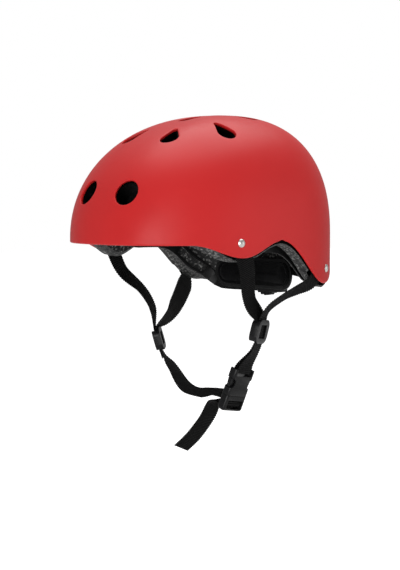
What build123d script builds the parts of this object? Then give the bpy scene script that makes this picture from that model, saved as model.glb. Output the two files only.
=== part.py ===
from build123d import *
import math
import os

# Skateboard helmet. Millimetres. +X is the wearer's left, +Y the back, +Z up.
# The origin is inside the head space, on the level where the walls turn vertical.

os.makedirs("parts", exist_ok=True)

# Outer shell: a superellipse in plan, with a superellipse of height over it
shell_half_width = 100.0
front_reach = 157.0
rear_reach = 101.0
crown_height = 117.5
shell_wall = 2.8
skirt_depth = 60.0
widest_y = (front_reach - rear_reach) / 2
plan_power = 2.5
front_power = 2.0
side_power = 2.43
rear_power = 2.5
ring_shares = (1.0, 0.96, 0.88, 0.77, 0.64, 0.5, 0.36, 0.22, 0.08)
ring_points = 32
probe_share = 0.01

# Rim, as shares of the reach to front or back and of the crown height
rim_shares = (
    (-1.0, -0.03),
    (-0.72, -0.03),
    (-0.389, -0.134),
    (-0.0955, -0.0085),
    (0.525, -0.37),
    (1.0, -0.18),
)
rim_ease_share = 0.36

# Foam liner
foam_gap = 0.3
foam_side = 16.0
foam_crown = 22.0
foam_drop = 4.0
foam_drop_shares = (-0.5, -0.5, 1.0, 1.0, 1.0, 1.0)
liner_inset = shell_wall + foam_gap + foam_side
liner_drop = shell_wall + foam_gap + foam_crown

# Vents
round_vent_diameter = 24.5
round_vent_turn = 18.6
round_vent_rise = 21.0
round_vent_x = 28.6
round_vent_z = 45.7
vent_ring_y = -11.0
drop_vent_turns = (-62.0, -8.0, 60.0)
drop_vent_inner = 41.0
drop_vent_outer = 67.0
drop_vent_width = 18.0
drop_tip_radius = 2.2
crown_vent_length = 26.0
crown_vent_width = 13.0
foam_vent_margin = 1.2

# Rivets and the washers that clamp the webbing inside the shell
rivet_head_diameter = 8.3
rivet_head_height = 2.1
rivet_shank = 4.0
rivet_bore_clearance = 0.15
washer_diameter = 13.0
washer_thickness = 1.2
seat_gap = 0.25
web_lift = 1.2
washer_gap = 0.45
ear_rivet_shares = (-0.411, -0.017)
rear_rivet_shares = (0.535, -0.248)

# Webbing
web_width = 19.0
web_thickness = 1.4
layer_gap = 0.5
web_pocket_margin = 2.8
web_pocket_depth = 6.8
ear_pocket_run = 22.0
rear_pocket_run = 32.0

# Webbing dividers that the two layers run through
slider_width = 26.0
slider_length = 23.0
slider_bar = 5.0
slider_face = 1.7
slider_clearance = 0.5
slider_travel = 8.0
slider_corner = 7.5

# Side-release buckle
buckle_width = 26.5
buckle_depth = 9.0
female_length = 26.0
buckle_wall = 1.9
buckle_slot = 3.4
buckle_bar = 2.6
buckle_bridge = 2.0
buckle_corner = 2.4
buckle_clearance = 0.35
window_length = 9.5
window_to_mouth = 7.5
tongue_width = 4.6
tongue_depth = 2.8
prong_width = 3.0
prong_depth = 4.4
prong_root = 1.1
catch_height = 1.4
press_height = 2.6
male_block = 4.4
male_slot = 3.0
male_end_bar = 2.3
male_bar_face = 1.0
release_travel = 16.0
squeeze_angle = 10.0
strap_lead = 4.0

# Places of the harness, as shares of the half width, the reach and the crown height
buckle_top_share = (0.64, -0.198, -1.035)
buckle_end_share = (0.52, -0.239, -1.361)
slider_left_top_share = (0.785, -0.13, -0.632)
slider_left_end_share = (0.745, -0.158, -0.843)
slider_right_top_share = (-0.76, -0.1, -0.79)
slider_right_end_share = (-0.725, -0.055, -1.02)

# Which way the flat webbing faces: directions across it, of length one or so
ear_across_share = (0.1, 0.92, 0.38)
rear_across_share = (0.1, 0.5, -0.86)
buckle_across_share = (-0.05, 0.97, -0.15)
slider_left_across_share = (-0.36, 0.93, 0.0)
slider_right_across_share = (-0.66, 0.75, 0.0)
ear_left_mid_shares = (
    ((0.857, -0.294, -0.38), (0.0, 0.93, 0.38)),
    ((0.818, -0.242, -0.508), (-0.22, 0.86, 0.4)),
)
rear_left_mid_shares = (
    ((0.915, 0.355, -0.334), (-0.3, 0.55, -0.74)),
    ((0.885, 0.229, -0.395), (-0.6, 0.45, -0.65)),
    ((0.86, 0.085, -0.438), (-0.7, 0.4, -0.56)),
    ((0.835, -0.032, -0.495), (-0.67, 0.5, -0.5)),
    ((0.81, -0.101, -0.562), (-0.55, 0.72, -0.35)),
)
ear_right_mid_shares = (
    ((-0.865, -0.325, -0.29), (-0.35, 0.8, 0.49)),
    ((-0.835, -0.216, -0.414), (-0.58, 0.62, 0.53)),
    ((-0.81, -0.145, -0.521), (-0.52, 0.76, 0.4)),
    ((-0.785, -0.108, -0.634), (-0.49, 0.87, 0.12)),
)
rear_right_mid_shares = (
    ((-0.9, 0.39, -0.374), (-0.05, 0.68, -0.73)),
    ((-0.865, 0.334, -0.45), (0.2, 0.8, -0.55)),
    ((-0.83, 0.239, -0.542), (0.15, 0.76, -0.63)),
    ((-0.805, 0.148, -0.624), (0.0, 0.72, -0.68)),
    ((-0.783, 0.035, -0.705), (-0.4, 0.62, -0.62)),
)
lower_right_mid_shares = (((-0.67, -0.028, -1.1), (-0.37, 0.93, 0.05)),)
split_share = (-0.61, -0.015, -1.166)
split_across_share = (-0.15, 0.98, -0.09)
chin_mid_shares = (
    ((-0.515, -0.023, -1.236), (0.04, 0.98, -0.1)),
    ((-0.37, -0.039, -1.295), (0.2, 0.97, 0.1)),
    ((-0.18, -0.066, -1.299), (0.22, 0.92, 0.31)),
    ((0.02, -0.101, -1.288), (0.21, 0.88, 0.42)),
    ((0.18, -0.135, -1.27), (0.3, 0.9, 0.3)),
)
tail_mid_shares = (
    ((0.2, -0.168, -1.346), (0.31, 0.92, 0.25)),
    ((0.13, -0.151, -1.405), (0.2, 0.97, 0.12)),
    ((0.07, -0.137, -1.466), (0.18, 0.98, -0.06)),
    ((-0.01, -0.144, -1.556), (0.14, 0.96, -0.22)),
    ((-0.12, -0.162, -1.669), (0.1, 0.93, -0.35)),
)
tail_end_share = (-0.235, -0.188, -1.766)
tail_end_across_share = (0.08, 0.92, -0.38)
stations_per_stretch = 14

# Comfort pads on hook-fastener dots
dot_diameter = 14.0
dot_thickness = 1.2
dot_lift = 0.95
pad_lift = 2.45
pad_thickness = 7.0
pad_edge_share = 0.4
pad_taper_power = 4
pad_station_shares = (-0.96, -0.86, -0.68, -0.38, 0.0, 0.38, 0.68, 0.86, 0.96)
side_pad_height = 34.0
side_pad_middle = 33.0
side_pad_half_turn = 34.0
front_pad_height = 27.0
front_pad_middle = 19.0
front_pad_half_turn = 34.0
rear_pad_height = 24.0
rear_pad_middle = 18.0
rear_pad_half_turn = 28.0
crown_pad_length = 92.0
crown_pad_width = 58.0

# Fit cradle behind the head
cradle_y = 81.0
cradle_z = -37.5
cradle_radius = 190.0
cradle_width = 106.0
cradle_height = 30.0
cradle_thickness = 2.2
nape_pad_margin = 3.0
nape_pad_thickness = 5.0
hanger_width = 6.0
hanger_thickness = 1.6
hanger_rise = 24.0

# Dial, pinion and racks
dial_z = -43.0
dial_diameter = 35.0
dial_depth = 11.0
dial_ridges = 22
ridge_radius = 1.6
dial_turn_angle = 170.0
case_half_width = 31.5
case_height = 25.0
case_wall = 1.6
cover_thickness = 1.8
gear_pitch_radius = 6.0
gear_teeth = 8
addendum = 1.2
dedendum = 1.6
gear_tip_half = 0.45
gear_root_half = 1.15
rack_tip_half = 0.5
rack_root_half = 1.3
gear_thickness = 4.0
rack_back = 2.6
rack_thickness = 3.0
rack_inner = 11.0
rack_outer = 46.0
running_gap = 0.3
shaft_radius = 2.5
screw_radius = 1.25
screw_head_radius = 3.2
screw_head_height = 1.6
drive_slot_width = 0.9
shaft_clearance = 0.08

# Headbands from the racks to the temples
band_thickness = 1.5
band_height = 15.0
band_end_height = 8.0
band_gap = 1.6
band_lap = 12.0
band_turn_shares = (0.37, 0.27, 0.15, 0.04, -0.08, -0.18, -0.27)
band_level_shares = (-0.31, -0.24, -0.13, -0.065, -0.04, -0.04, -0.01)
band_window_height = 8.5
band_stations = 20
pin_radius = 2.0
pin_length = 9.0
pin_head_radius = 5.0
pin_head_height = 1.8

# How far a cutter runs past what it cuts
overrun = 12.0


# Surfaces of the dome

def reach_of(share):
    return front_reach if share < 0 else rear_reach


def place(shares):
    across, along, up = shares
    return Vector(shell_half_width * across, widest_y + reach_of(along) * along, crown_height * up)


def vertical_power(turn):
    c = abs(math.cos(turn)) ** plan_power
    s = abs(math.sin(turn)) ** plan_power
    end_power = rear_power if math.sin(turn) > 0 else front_power
    return side_power + (end_power - side_power) * s / (c + s)


def dome_point(turn, height, inset, drop):
    c = math.cos(turn)
    s = math.sin(turn)
    top = crown_height - drop
    power = vertical_power(turn)
    lean = (1 - (max(height, 0) / top) ** power) ** (1 / power)
    radius = lean / (abs(c) ** plan_power + abs(s) ** plan_power) ** (1 / plan_power)
    reach = reach_of(s) - inset
    return Vector((shell_half_width - inset) * radius * c, widest_y + reach * radius * s, height)


def dome_height(x, y, inset, drop):
    side = abs(x) / (shell_half_width - inset)
    end = abs(y - widest_y) / (reach_of(y - widest_y) - inset)
    radius = (side ** plan_power + end ** plan_power) ** (1 / plan_power)
    power = vertical_power(math.atan2((y - widest_y) / reach_of(y - widest_y), x / shell_half_width))
    return (crown_height - drop) * (1 - radius ** power) ** (1 / power)


def wall_point(reach_share):
    side = (1 - abs(reach_share) ** plan_power) ** (1 / plan_power)
    return Vector(shell_half_width * side, widest_y + reach_of(reach_share) * reach_share, 0)


def wall_normal(reach_share):
    side = (1 - abs(reach_share) ** plan_power) ** (1 / plan_power)
    slope_x = side ** (plan_power - 1) / shell_half_width
    slope_y = abs(reach_share) ** (plan_power - 1) / reach_of(reach_share)
    return Vector(slope_x, math.copysign(slope_y, reach_share), 0).normalized()


def dome_normal(turn, height, inset, drop):
    lift = crown_height * probe_share
    next_turn = turn + probe_share
    last_turn = turn - probe_share
    around = dome_point(next_turn, height, inset, drop) - dome_point(last_turn, height, inset, drop)
    upward = dome_point(turn, height + lift, inset, drop) - dome_point(turn, height, inset, drop)
    return around.cross(upward).normalized()


def dome(inset, drop, bottom):
    top = crown_height - drop
    heights = [bottom, bottom / 2]
    heights += [top * (1 - share ** side_power) ** (1 / side_power) for share in ring_shares]
    rings = []
    for height in heights:
        turns = [2 * math.pi * k / ring_points for k in range(ring_points)]
        points = [dome_point(turn, height, inset, drop) for turn in turns]
        rings.append(Face(Wire([Spline(points, periodic=True)])))
    return loft(rings)


def below_rim(drop):
    points = []
    for (along, up), share in zip(rim_shares, foam_drop_shares):
        points.append(Vector(0, widest_y + reach_of(along) * along, crown_height * up - drop * share))
    edges = []
    for start, end in zip(points, points[1:]):
        ease = (end.Y - start.Y) * rim_ease_share
        first = Vector(0, start.Y + ease, start.Z)
        last = Vector(0, end.Y - ease, end.Z)
        edges.append(Bezier(start, first, last, end))
    front = points[0] - Vector(0, overrun, 0)
    back = points[-1] + Vector(0, overrun, 0)
    floor = -skirt_depth - overrun
    corners = (points[-1], back, Vector(0, back.Y, floor), Vector(0, front.Y, floor), front, points[0])
    edges += [Line(a, b) for a, b in zip(corners, corners[1:])]
    return extrude(Face(Wire(edges)), amount=shell_half_width + overrun, dir=(1, 0, 0), both=True)


# Vents

def round_vent(side, sign, margin):
    turn = math.radians(round_vent_turn)
    rise = math.radians(round_vent_rise)
    level = math.cos(rise)
    out = Vector(side * math.sin(turn) * level, sign * math.cos(turn) * level, math.sin(rise))
    share = abs(round_vent_x) / shell_half_width
    reach = rear_reach if sign > 0 else front_reach
    lean = (1 - (round_vent_z / crown_height) ** side_power) ** (1 / side_power)
    y = widest_y + sign * reach * (lean ** plan_power - share ** plan_power) ** (1 / plan_power)
    middle = Vector(side * round_vent_x, y, round_vent_z)
    depth = 2 * (liner_drop + overrun)
    return Plane(origin=middle, z_dir=out).location * Cylinder(round_vent_diameter / 2 - margin, depth)


def drop_vent(side, turn_degrees, margin):
    turn = math.radians(turn_degrees)
    radial = Vector(side * math.cos(turn), math.sin(turn), 0)
    middle_radius = (drop_vent_inner + drop_vent_outer) / 2
    spot = Vector(0, vent_ring_y, 0) + radial * middle_radius
    middle = Vector(spot.X, spot.Y, dome_height(spot.X, spot.Y, 0, 0))
    inner = Vector(0, vent_ring_y, 0) + radial * drop_vent_inner
    outer = Vector(0, vent_ring_y, 0) + radial * drop_vent_outer
    high = Vector(inner.X, inner.Y, dome_height(inner.X, inner.Y, 0, 0))
    low = Vector(outer.X, outer.Y, dome_height(outer.X, outer.Y, 0, 0))
    down = (low - high).normalized()
    sideways = Vector(0, 0, 1).cross(down).normalized()
    frame = Plane(origin=middle, x_dir=down, z_dir=down.cross(sideways))
    length = (low - high).length - 2 * margin
    big = drop_vent_width / 2 - margin
    small = max(drop_tip_radius - margin, drop_tip_radius / 2)
    round_end = Pos(length / 2 - big, 0) * Circle(big)
    tip = Pos(small - length / 2, 0) * Circle(small)
    outline = make_hull(round_end.edges() + tip.edges())
    return frame.location * extrude(outline, amount=liner_drop + overrun, both=True)


def crown_vent(margin):
    outline = SlotOverall(crown_vent_length - 2 * margin, crown_vent_width - 2 * margin, rotation=90)
    return Pos(0, vent_ring_y, crown_height - liner_drop - overrun) * extrude(outline, amount=2 * liner_drop)


def vents(margin):
    cutters = [crown_vent(margin)]
    for side in (1, -1):
        cutters.append(round_vent(side, -1, margin))
        cutters.append(round_vent(side, 1, margin))
        cutters += [drop_vent(side, turn, margin) for turn in drop_vent_turns]
    return cutters


# Rivets: a dome head outside, a shank through shell, webbing and washer, a spread end inside

def rivet_frame(shares, side):
    along, up = shares
    point = wall_point(along) + Vector(0, 0, crown_height * up)
    normal = wall_normal(along)
    point = Vector(side * point.X, point.Y, point.Z)
    normal = Vector(side * normal.X, normal.Y, 0)
    return Plane(origin=point, z_dir=normal)


web_depth = shell_wall + web_lift + web_thickness / 2
washer_depth = shell_wall + web_lift + web_thickness + washer_gap
clinch_depth = washer_depth + washer_thickness + seat_gap / 2


def rivet(frame):
    head_radius = rivet_head_diameter / 2
    ball_radius = (head_radius ** 2 + rivet_head_height ** 2) / (2 * rivet_head_height)
    ball = Pos(0, 0, rivet_head_height - ball_radius) * Sphere(ball_radius)
    keep = Pos(0, 0, rivet_head_height) * Cylinder(rivet_head_diameter, 2 * rivet_head_height - seat_gap)
    head = ball & keep
    reach = clinch_depth + washer_thickness
    shank = Pos(0, 0, (seat_gap - reach) / 2) * Cylinder(rivet_shank / 2, reach + seat_gap)
    spread = Pos(0, 0, -clinch_depth - washer_thickness / 2) * Cylinder(rivet_shank, washer_thickness)
    return frame.location * (head + shank + spread)


def rivet_bore(frame, radius):
    return frame.location * Cylinder(radius, 2 * (clinch_depth + overrun))


def washer(frame):
    disc = Cylinder(washer_diameter / 2, washer_thickness)
    disc -= Cylinder(rivet_shank / 2 + shaft_clearance, overrun)
    return frame.location * (Pos(0, 0, -washer_depth - washer_thickness / 2) * disc)


# Webbing: rectangles set along a smooth path and joined by straight-ruled faces

def cross_section(centre, tangent, across, width, thickness):
    face = tangent.cross(across).normalized()
    true_across = face.cross(tangent).normalized()
    half = true_across * (width / 2)
    rise = face * (thickness / 2)
    corners = [centre + half + rise, centre - half + rise, centre - half - rise, centre + half - rise]
    return Face(Wire([Line(corners[k], corners[(k + 1) % 4]) for k in range(4)]))


def across_at(stops, shares, t):
    for before, after, low, high in zip(stops, stops[1:], shares, shares[1:]):
        if t <= high:
            break
    blend = (t - low) / (high - low)
    return before[1] * (1 - blend) + after[1] * blend


def ribbon(stops, width, thickness, first_tangent, last_tangent):
    path = Spline([centre for centre, across in stops], tangents=(first_tangent, last_tangent))
    shares = [0] + [path.param_at_point(centre) for centre, across in stops[1:-1]] + [1]
    sections = []
    for k in range(stations_per_stretch + 1):
        t = k / stations_per_stretch
        sections.append(cross_section(path @ t, path % t, across_at(stops, shares, t), width, thickness))
    return loft(sections, ruled=True)


def straight_ribbon(start, end, across, width, thickness):
    along = (end - start).normalized()
    ends = [cross_section(centre, along, across, width, thickness) for centre in (start, end)]
    return loft(ends, ruled=True)


def stop(shares):
    return place(shares[0]), Vector(*shares[1])


def harness_frame(top_share, end_share, across_share):
    top = place(top_share)
    down = (place(end_share) - top).normalized()
    across = Vector(*across_share)
    across = (across - down * across.dot(down)).normalized()
    return Plane(origin=top, x_dir=across, z_dir=down)


buckle_frame = harness_frame(buckle_top_share, buckle_end_share, buckle_across_share)
slider_left_frame = harness_frame(slider_left_top_share, slider_left_end_share, slider_left_across_share)
slider_right_frame = harness_frame(slider_right_top_share, slider_right_end_share, slider_right_across_share)
layer_offset = (web_thickness + layer_gap) / 2


def layer_stop(frame, side, down):
    centre = frame.origin + frame.y_dir * (side * layer_offset) + frame.z_dir * down
    return centre, frame.x_dir


def wall_beside(point, side):
    along = (point.Y - widest_y) / reach_of(point.Y - widest_y)
    wall = wall_point(along)
    normal = wall_normal(along)
    return Vector(side * wall.X, wall.Y, point.Z), Vector(side * normal.X, normal.Y, 0)


def along_wall(point, side, across):
    wall, normal = wall_beside(point, side)
    return wall - normal * web_depth, (across - normal * across.dot(normal)).normalized()


def web_pocket(stops, run, side, exit_run):
    above = washer_diameter / 2 + web_pocket_margin
    middle = stops[1][0] + run * ((exit_run - above) / 2)
    wall, normal = wall_beside(middle, side)
    across = stops[1][1]
    across = (across - normal * across.dot(normal)).normalized()
    frame = Plane(origin=wall - normal * (shell_wall + foam_gap), x_dir=across, z_dir=normal)
    return frame.location * Box(web_width + 2 * web_pocket_margin, exit_run + above, 2 * web_pocket_depth)


def anchor_stops(shares, side, across_share):
    frame = rivet_frame(shares, side)
    start = frame.origin - frame.z_dir * web_depth
    across = Vector(side * across_share[0], across_share[1], across_share[2])
    across = (across - frame.z_dir * across.dot(frame.z_dir)).normalized()
    run = across.cross(frame.z_dir).normalized()
    run = run if run.Z < 0 else run * -1
    top = along_wall(start - run * (washer_diameter / 2), side, across)
    rim = along_wall(start + run * washer_diameter, side, across)
    return [top, (start, across), rim], run


def upper_strap(anchor, side, across_share, mids, frame, layer):
    stops, run = anchor_stops(anchor, side, across_share)
    stops += [stop(mid) for mid in mids]
    stops.append(layer_stop(frame, layer, 0))
    return stops, run


# Cushions: a back that follows the surface, drawn-in sides and a crowned face

def back_edge(start, middle, end):
    bow = (middle - (start + end) / 2).length
    if bow > (end - start).length * probe_share / 10:
        return ThreePointArc(start, middle, end)
    return Line(start, end)


def cushion(point, thickness):
    sections = []
    for u in pad_station_shares:
        spread = (1 - abs(u) ** pad_taper_power) ** 0.5
        full = thickness * (1 + spread) / 2
        edge = full * pad_edge_share
        outline = [(spread, 0), (0, 0), (-spread, 0), (-spread, edge), (0, full), (spread, edge)]
        corners = [point(u, v, depth) for v, depth in outline]
        level = (corners[0] - corners[2]).normalized()
        middle = corners[1]
        normal = level.cross(corners[4] - middle).normalized()
        a, b, c, d, e, f = [corner - normal * normal.dot(corner - middle) for corner in corners]
        edges = [back_edge(a, b, c), Line(c, d), ThreePointArc(d, e, f), Line(f, a)]
        sections.append(Face(Wire(edges)))
    return loft(sections)


def wall_pad(middle_turn, half_turn, middle, height):
    def point(u, v, depth):
        turn = math.radians(middle_turn + u * half_turn)
        inset = liner_inset + pad_lift + depth
        return dome_point(turn, middle + v * height / 2, inset, liner_drop + pad_lift + depth)
    return cushion(point, pad_thickness)


def crown_pad_point(u, v, depth):
    x = v * crown_pad_width / 2
    y = vent_ring_y + u * crown_pad_length / 2
    lift = pad_lift + depth
    return Vector(x, y, dome_height(x, y, liner_inset, liner_drop) - lift)


def dot(turn_degrees, height):
    turn = math.radians(turn_degrees)
    point = dome_point(turn, height, liner_inset, liner_drop)
    out = dome_normal(turn, height, liner_inset, liner_drop)
    middle = point - out * (dot_lift + dot_thickness / 2)
    return Plane(origin=middle, z_dir=out).location * Cylinder(dot_diameter / 2, dot_thickness)


def crown_dot(along):
    y = vent_ring_y + along
    heights = [dome_height(0, y + end * dot_diameter / 2, liner_inset, liner_drop) for end in (-1, 1)]
    out = Vector(0, heights[0] - heights[1], dot_diameter).normalized()
    middle = Vector(0, y, dome_height(0, y, liner_inset, liner_drop)) - out * (dot_lift + dot_thickness / 2)
    return Plane(origin=middle, z_dir=out).location * Cylinder(dot_diameter / 2, dot_thickness)


# Shell and liner
rivet_places = {
    "ear_rivet_left": (ear_rivet_shares, 1),
    "ear_rivet_right": (ear_rivet_shares, -1),
    "rear_rivet_left": (rear_rivet_shares, 1),
    "rear_rivet_right": (rear_rivet_shares, -1),
}
rivet_frames = {name: rivet_frame(shares, side) for name, (shares, side) in rivet_places.items()}

outer_shell = dome(0, 0, -skirt_depth) - dome(shell_wall, shell_wall, -skirt_depth - overrun)
outer_shell -= below_rim(0)
outer_shell -= vents(0)
for frame in rivet_frames.values():
    outer_shell -= rivet_bore(frame, rivet_shank / 2 + rivet_bore_clearance)

foam_inset = shell_wall + foam_gap
foam_liner = dome(foam_inset, foam_inset, -skirt_depth)
foam_liner -= dome(liner_inset, liner_drop, -skirt_depth - overrun)
foam_liner -= below_rim(foam_drop)
foam_liner -= vents(foam_vent_margin)

# Webbing stretches, each a list of stops
ear_left_stops, ear_left_run = upper_strap(
    ear_rivet_shares, 1, ear_across_share, ear_left_mid_shares, slider_left_frame, -1
)
rear_left_stops, rear_left_run = upper_strap(
    rear_rivet_shares, 1, rear_across_share, rear_left_mid_shares, slider_left_frame, 1
)
ear_right_stops, ear_right_run = upper_strap(
    ear_rivet_shares, -1, ear_across_share, ear_right_mid_shares, slider_right_frame, -1
)
rear_right_stops, rear_right_run = upper_strap(
    rear_rivet_shares, -1, rear_across_share, rear_right_mid_shares, slider_right_frame, 1
)
upper_straps = {
    "ear_strap_left": (ear_left_stops, ear_left_run, slider_left_frame, ear_pocket_run),
    "rear_strap_left": (rear_left_stops, rear_left_run, slider_left_frame, rear_pocket_run),
    "ear_strap_right": (ear_right_stops, ear_right_run, slider_right_frame, ear_pocket_run),
    "rear_strap_right": (rear_right_stops, rear_right_run, slider_right_frame, rear_pocket_run),
}
rivet_recess = clinch_depth + 2 * washer_thickness - foam_inset
parts = {}
for name, (stops, run, frame, exit_run) in upper_straps.items():
    rivet_frame_here = rivet_frames[name.replace("strap", "rivet")]
    side = rivet_places[name.replace("strap", "rivet")][1]
    strap = ribbon(stops, web_width, web_thickness, run, frame.z_dir)
    parts[name] = strap - rivet_bore(rivet_frame_here, rivet_shank / 2 + shaft_clearance)
    foam_liner -= web_pocket(stops, run, side, exit_run)
    recess = Cylinder(washer_diameter / 2 + web_pocket_margin / 2, 2 * rivet_recess)
    foam_liner -= rivet_frame_here.location * (Pos(0, 0, -foam_inset) * recess)

for name, frame in rivet_frames.items():
    parts[name] = rivet(frame)
    parts[name.replace("rivet", "washer")] = washer(frame)

parts["outer_shell"] = outer_shell
parts["foam_liner"] = foam_liner


# Left lower webbing: down as one layer, round the bar of the female half and up as the other

loop_radius = (buckle_bar + web_thickness) / 2 + layer_gap


def bar_loop():
    start = buckle_frame.origin - buckle_frame.z_dir * loop_radius
    out = buckle_frame.y_dir * loop_radius
    middle = buckle_frame.origin + buckle_frame.z_dir * (buckle_bar / 2)
    arc = ThreePointArc(middle + out, middle + buckle_frame.z_dir * loop_radius, middle - out)
    lines = [Line(start + out, middle + out), arc, Line(middle - out, start - out)]
    section = cross_section(start + out, buckle_frame.z_dir, buckle_frame.x_dir, web_width, web_thickness)
    return sweep(section, path=Wire(lines)), start + out, start - out


loop, loop_in, loop_out = bar_loop()
straight_end = slider_length + slider_travel
lower_left = loop
for side, meet in ((1, loop_in), (-1, loop_out)):
    top_stop = layer_stop(slider_left_frame, side, 0)
    straight_stop = layer_stop(slider_left_frame, side, straight_end)
    straight = straight_ribbon(
        top_stop[0], straight_stop[0], slider_left_frame.x_dir, web_width, web_thickness
    )
    bend = ribbon(
        [straight_stop, (meet, buckle_frame.x_dir)],
        web_width,
        web_thickness,
        slider_left_frame.z_dir,
        buckle_frame.z_dir,
    )
    lower_left = lower_left + straight + bend
parts["lower_strap_left"] = lower_left

# Right lower webbing: two layers through the divider, the outer one going on to the split
far_end = layer_stop(slider_right_frame, 1, straight_end)
split = stop((split_share, split_across_share))
split_run = (stop(chin_mid_shares[0])[0] - stop(lower_right_mid_shares[0])[0]).normalized()
outer_layer = straight_ribbon(
    layer_stop(slider_right_frame, 1, 0)[0],
    layer_stop(slider_right_frame, 1, straight_end + layer_gap)[0],
    slider_right_frame.x_dir,
    web_width,
    web_thickness,
)
outer_layer += ribbon(
    [far_end] + [stop(mid) for mid in lower_right_mid_shares] + [split],
    web_width,
    web_thickness,
    slider_right_frame.z_dir,
    split_run,
)
parts["lower_strap_right"] = outer_layer
parts["inner_layer_right"] = straight_ribbon(
    layer_stop(slider_right_frame, -1, 0)[0],
    layer_stop(slider_right_frame, -1, straight_end)[0],
    slider_right_frame.x_dir,
    web_width,
    web_thickness,
)

# Chin webbing: from the split into the male half, round its bar and out again as a loose tail
male_start = female_length + buckle_clearance
male_bar_middle = male_start + male_block + male_slot + buckle_bar / 2
male_length = male_block + 2 * male_slot + buckle_bar + male_end_bar
chin_radius = (buckle_bar + male_slot) / 2
chin_centre = buckle_frame.origin + buckle_frame.z_dir * male_bar_middle
chin_back = buckle_frame.y_dir * -(buckle_depth / 2 + strap_lead)
chin_up = buckle_frame.z_dir * -chin_radius
chin_entry = chin_centre + chin_up + chin_back
chin_exit = chin_centre - chin_up + chin_back
chin_arc = ThreePointArc(
    chin_centre + chin_up, chin_centre + buckle_frame.y_dir * chin_radius, chin_centre - chin_up
)
chin_path = Wire([Line(chin_entry, chin_centre + chin_up), chin_arc, Line(chin_centre - chin_up, chin_exit)])
chin_section = cross_section(chin_entry, buckle_frame.y_dir, buckle_frame.x_dir, web_width, web_thickness)
parts["chin_strap"] = sweep(chin_section, path=chin_path) + ribbon(
    [split] + [stop(mid) for mid in chin_mid_shares] + [(chin_entry, buckle_frame.x_dir)],
    web_width,
    web_thickness,
    split_run,
    buckle_frame.y_dir,
)
tail_stop = stop((tail_end_share, tail_end_across_share))
parts["strap_tail"] = ribbon(
    [(chin_exit, buckle_frame.x_dir)] + [stop(mid) for mid in tail_mid_shares] + [tail_stop],
    web_width,
    web_thickness,
    buckle_frame.y_dir * -1,
    (tail_stop[0] - stop(tail_mid_shares[-1])[0]).normalized(),
)


# Divider: two side rails, two bars in front of the webbing and one behind it

passage = 2 * web_thickness + layer_gap + 2 * slider_clearance
slider_depth = passage + 2 * slider_face


def slider(frame):
    body = Box(slider_width, slider_depth, slider_length)
    body = fillet(body.edges().filter_by(Axis.Y), slider_corner)
    body -= Box(web_width + 2 * slider_clearance, passage, slider_length + overrun)
    front_y = (passage + slider_face) / 2
    window = slider_length - 2 * slider_bar
    body -= Pos(0, front_y, 0) * Box(web_width - slider_bar, slider_face + slider_clearance, window)
    gap = (slider_length - slider_bar) / 2
    for end in (1, -1):
        z = end * (slider_bar + gap) / 2
        body -= Pos(0, -front_y, z) * Box(
            web_width + 2 * slider_clearance, slider_face + slider_clearance, gap + slider_clearance
        )
    return frame.location * (Pos(0, 0, slider_length / 2) * body)


parts["slider_left"] = slider(slider_left_frame)
parts["slider_right"] = slider(slider_right_frame)


# Buckle, female half: a bar for the webbing, a hollow mouth and two side windows

slot_half = web_width / 2 + slider_clearance
mouth_half = buckle_width / 2 - buckle_wall
mouth_depth = buckle_depth - 2 * buckle_wall
mouth_top = buckle_bar + buckle_slot + buckle_bridge
window_end = female_length - window_to_mouth
window_start = window_end - window_length


def female_half():
    body = Pos(0, 0, female_length / 2) * Box(buckle_width, buckle_depth, female_length)
    body = fillet(body.edges().filter_by(Axis.Z), buckle_corner)
    slot_length = buckle_bar + buckle_slot
    body -= Pos(0, 0, (slot_length - overrun) / 2) * Box(
        2 * slot_half, buckle_depth + overrun, slot_length + overrun
    )
    bar = Pos(0, 0, buckle_bar / 2) * Rot(0, 90, 0) * Cylinder(buckle_bar / 2, 2 * slot_half + buckle_wall)
    body += bar
    mouth_length = female_length - mouth_top
    body -= Pos(0, 0, mouth_top + (mouth_length + overrun) / 2) * Box(
        2 * mouth_half, mouth_depth, mouth_length + overrun
    )
    window_middle = (window_start + window_end) / 2
    for side in (1, -1):
        opening = Box(2 * buckle_wall + overrun, mouth_depth, window_length)
        body -= Pos(side * (mouth_half + overrun / 2), 0, window_middle) * opening
        notch = Rot(90, 0, 0) * Cylinder(window_length / 2, buckle_depth + overrun)
        body -= Pos(side * buckle_width / 2, 0, window_middle) * notch
    return buckle_frame.location * body


# Buckle, male half: a block with two webbing slots, a guide tongue and two sprung prongs

prong_outer = mouth_half - buckle_clearance
prong_inner = prong_outer - prong_width
prong_tip = mouth_top + buckle_clearance


def male_half():
    body = Pos(0, 0, male_start + male_length / 2) * Box(buckle_width, buckle_depth, male_length)
    body = fillet(body.edges().filter_by(Axis.Z), buckle_corner)
    lower = [edge for edge in body.edges().filter_by(Axis.Y) if edge.center().Z > male_start + male_block]
    body = fillet(lower, male_slot)
    for end in (1, -1):
        z = male_bar_middle + end * chin_radius
        body -= Pos(0, 0, z) * Box(2 * slot_half, buckle_depth + overrun, male_slot)
    top = buckle_depth / 2 - male_bar_face
    body -= Pos(0, male_bar_face + top, male_bar_middle) * Box(2 * slot_half, 2 * top, buckle_bar + male_slot)
    reach = male_start - prong_tip
    tongue = Pos(0, 0, male_start - reach / 2) * Box(tongue_width, tongue_depth, reach)
    tongue = chamfer(tongue.edges().filter_by(Axis.Y).group_by(Axis.Z)[0], tongue_depth / 4)
    body += tongue
    pocket_length = prong_root + buckle_clearance
    for side in (1, -1):
        middle = side * (prong_inner + prong_outer) / 2
        body -= Pos(middle, 0, male_start + (pocket_length - overrun) / 2) * Box(
            prong_width + 2 * buckle_clearance, mouth_depth, pocket_length + overrun
        )
    return buckle_frame.location * body


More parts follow.
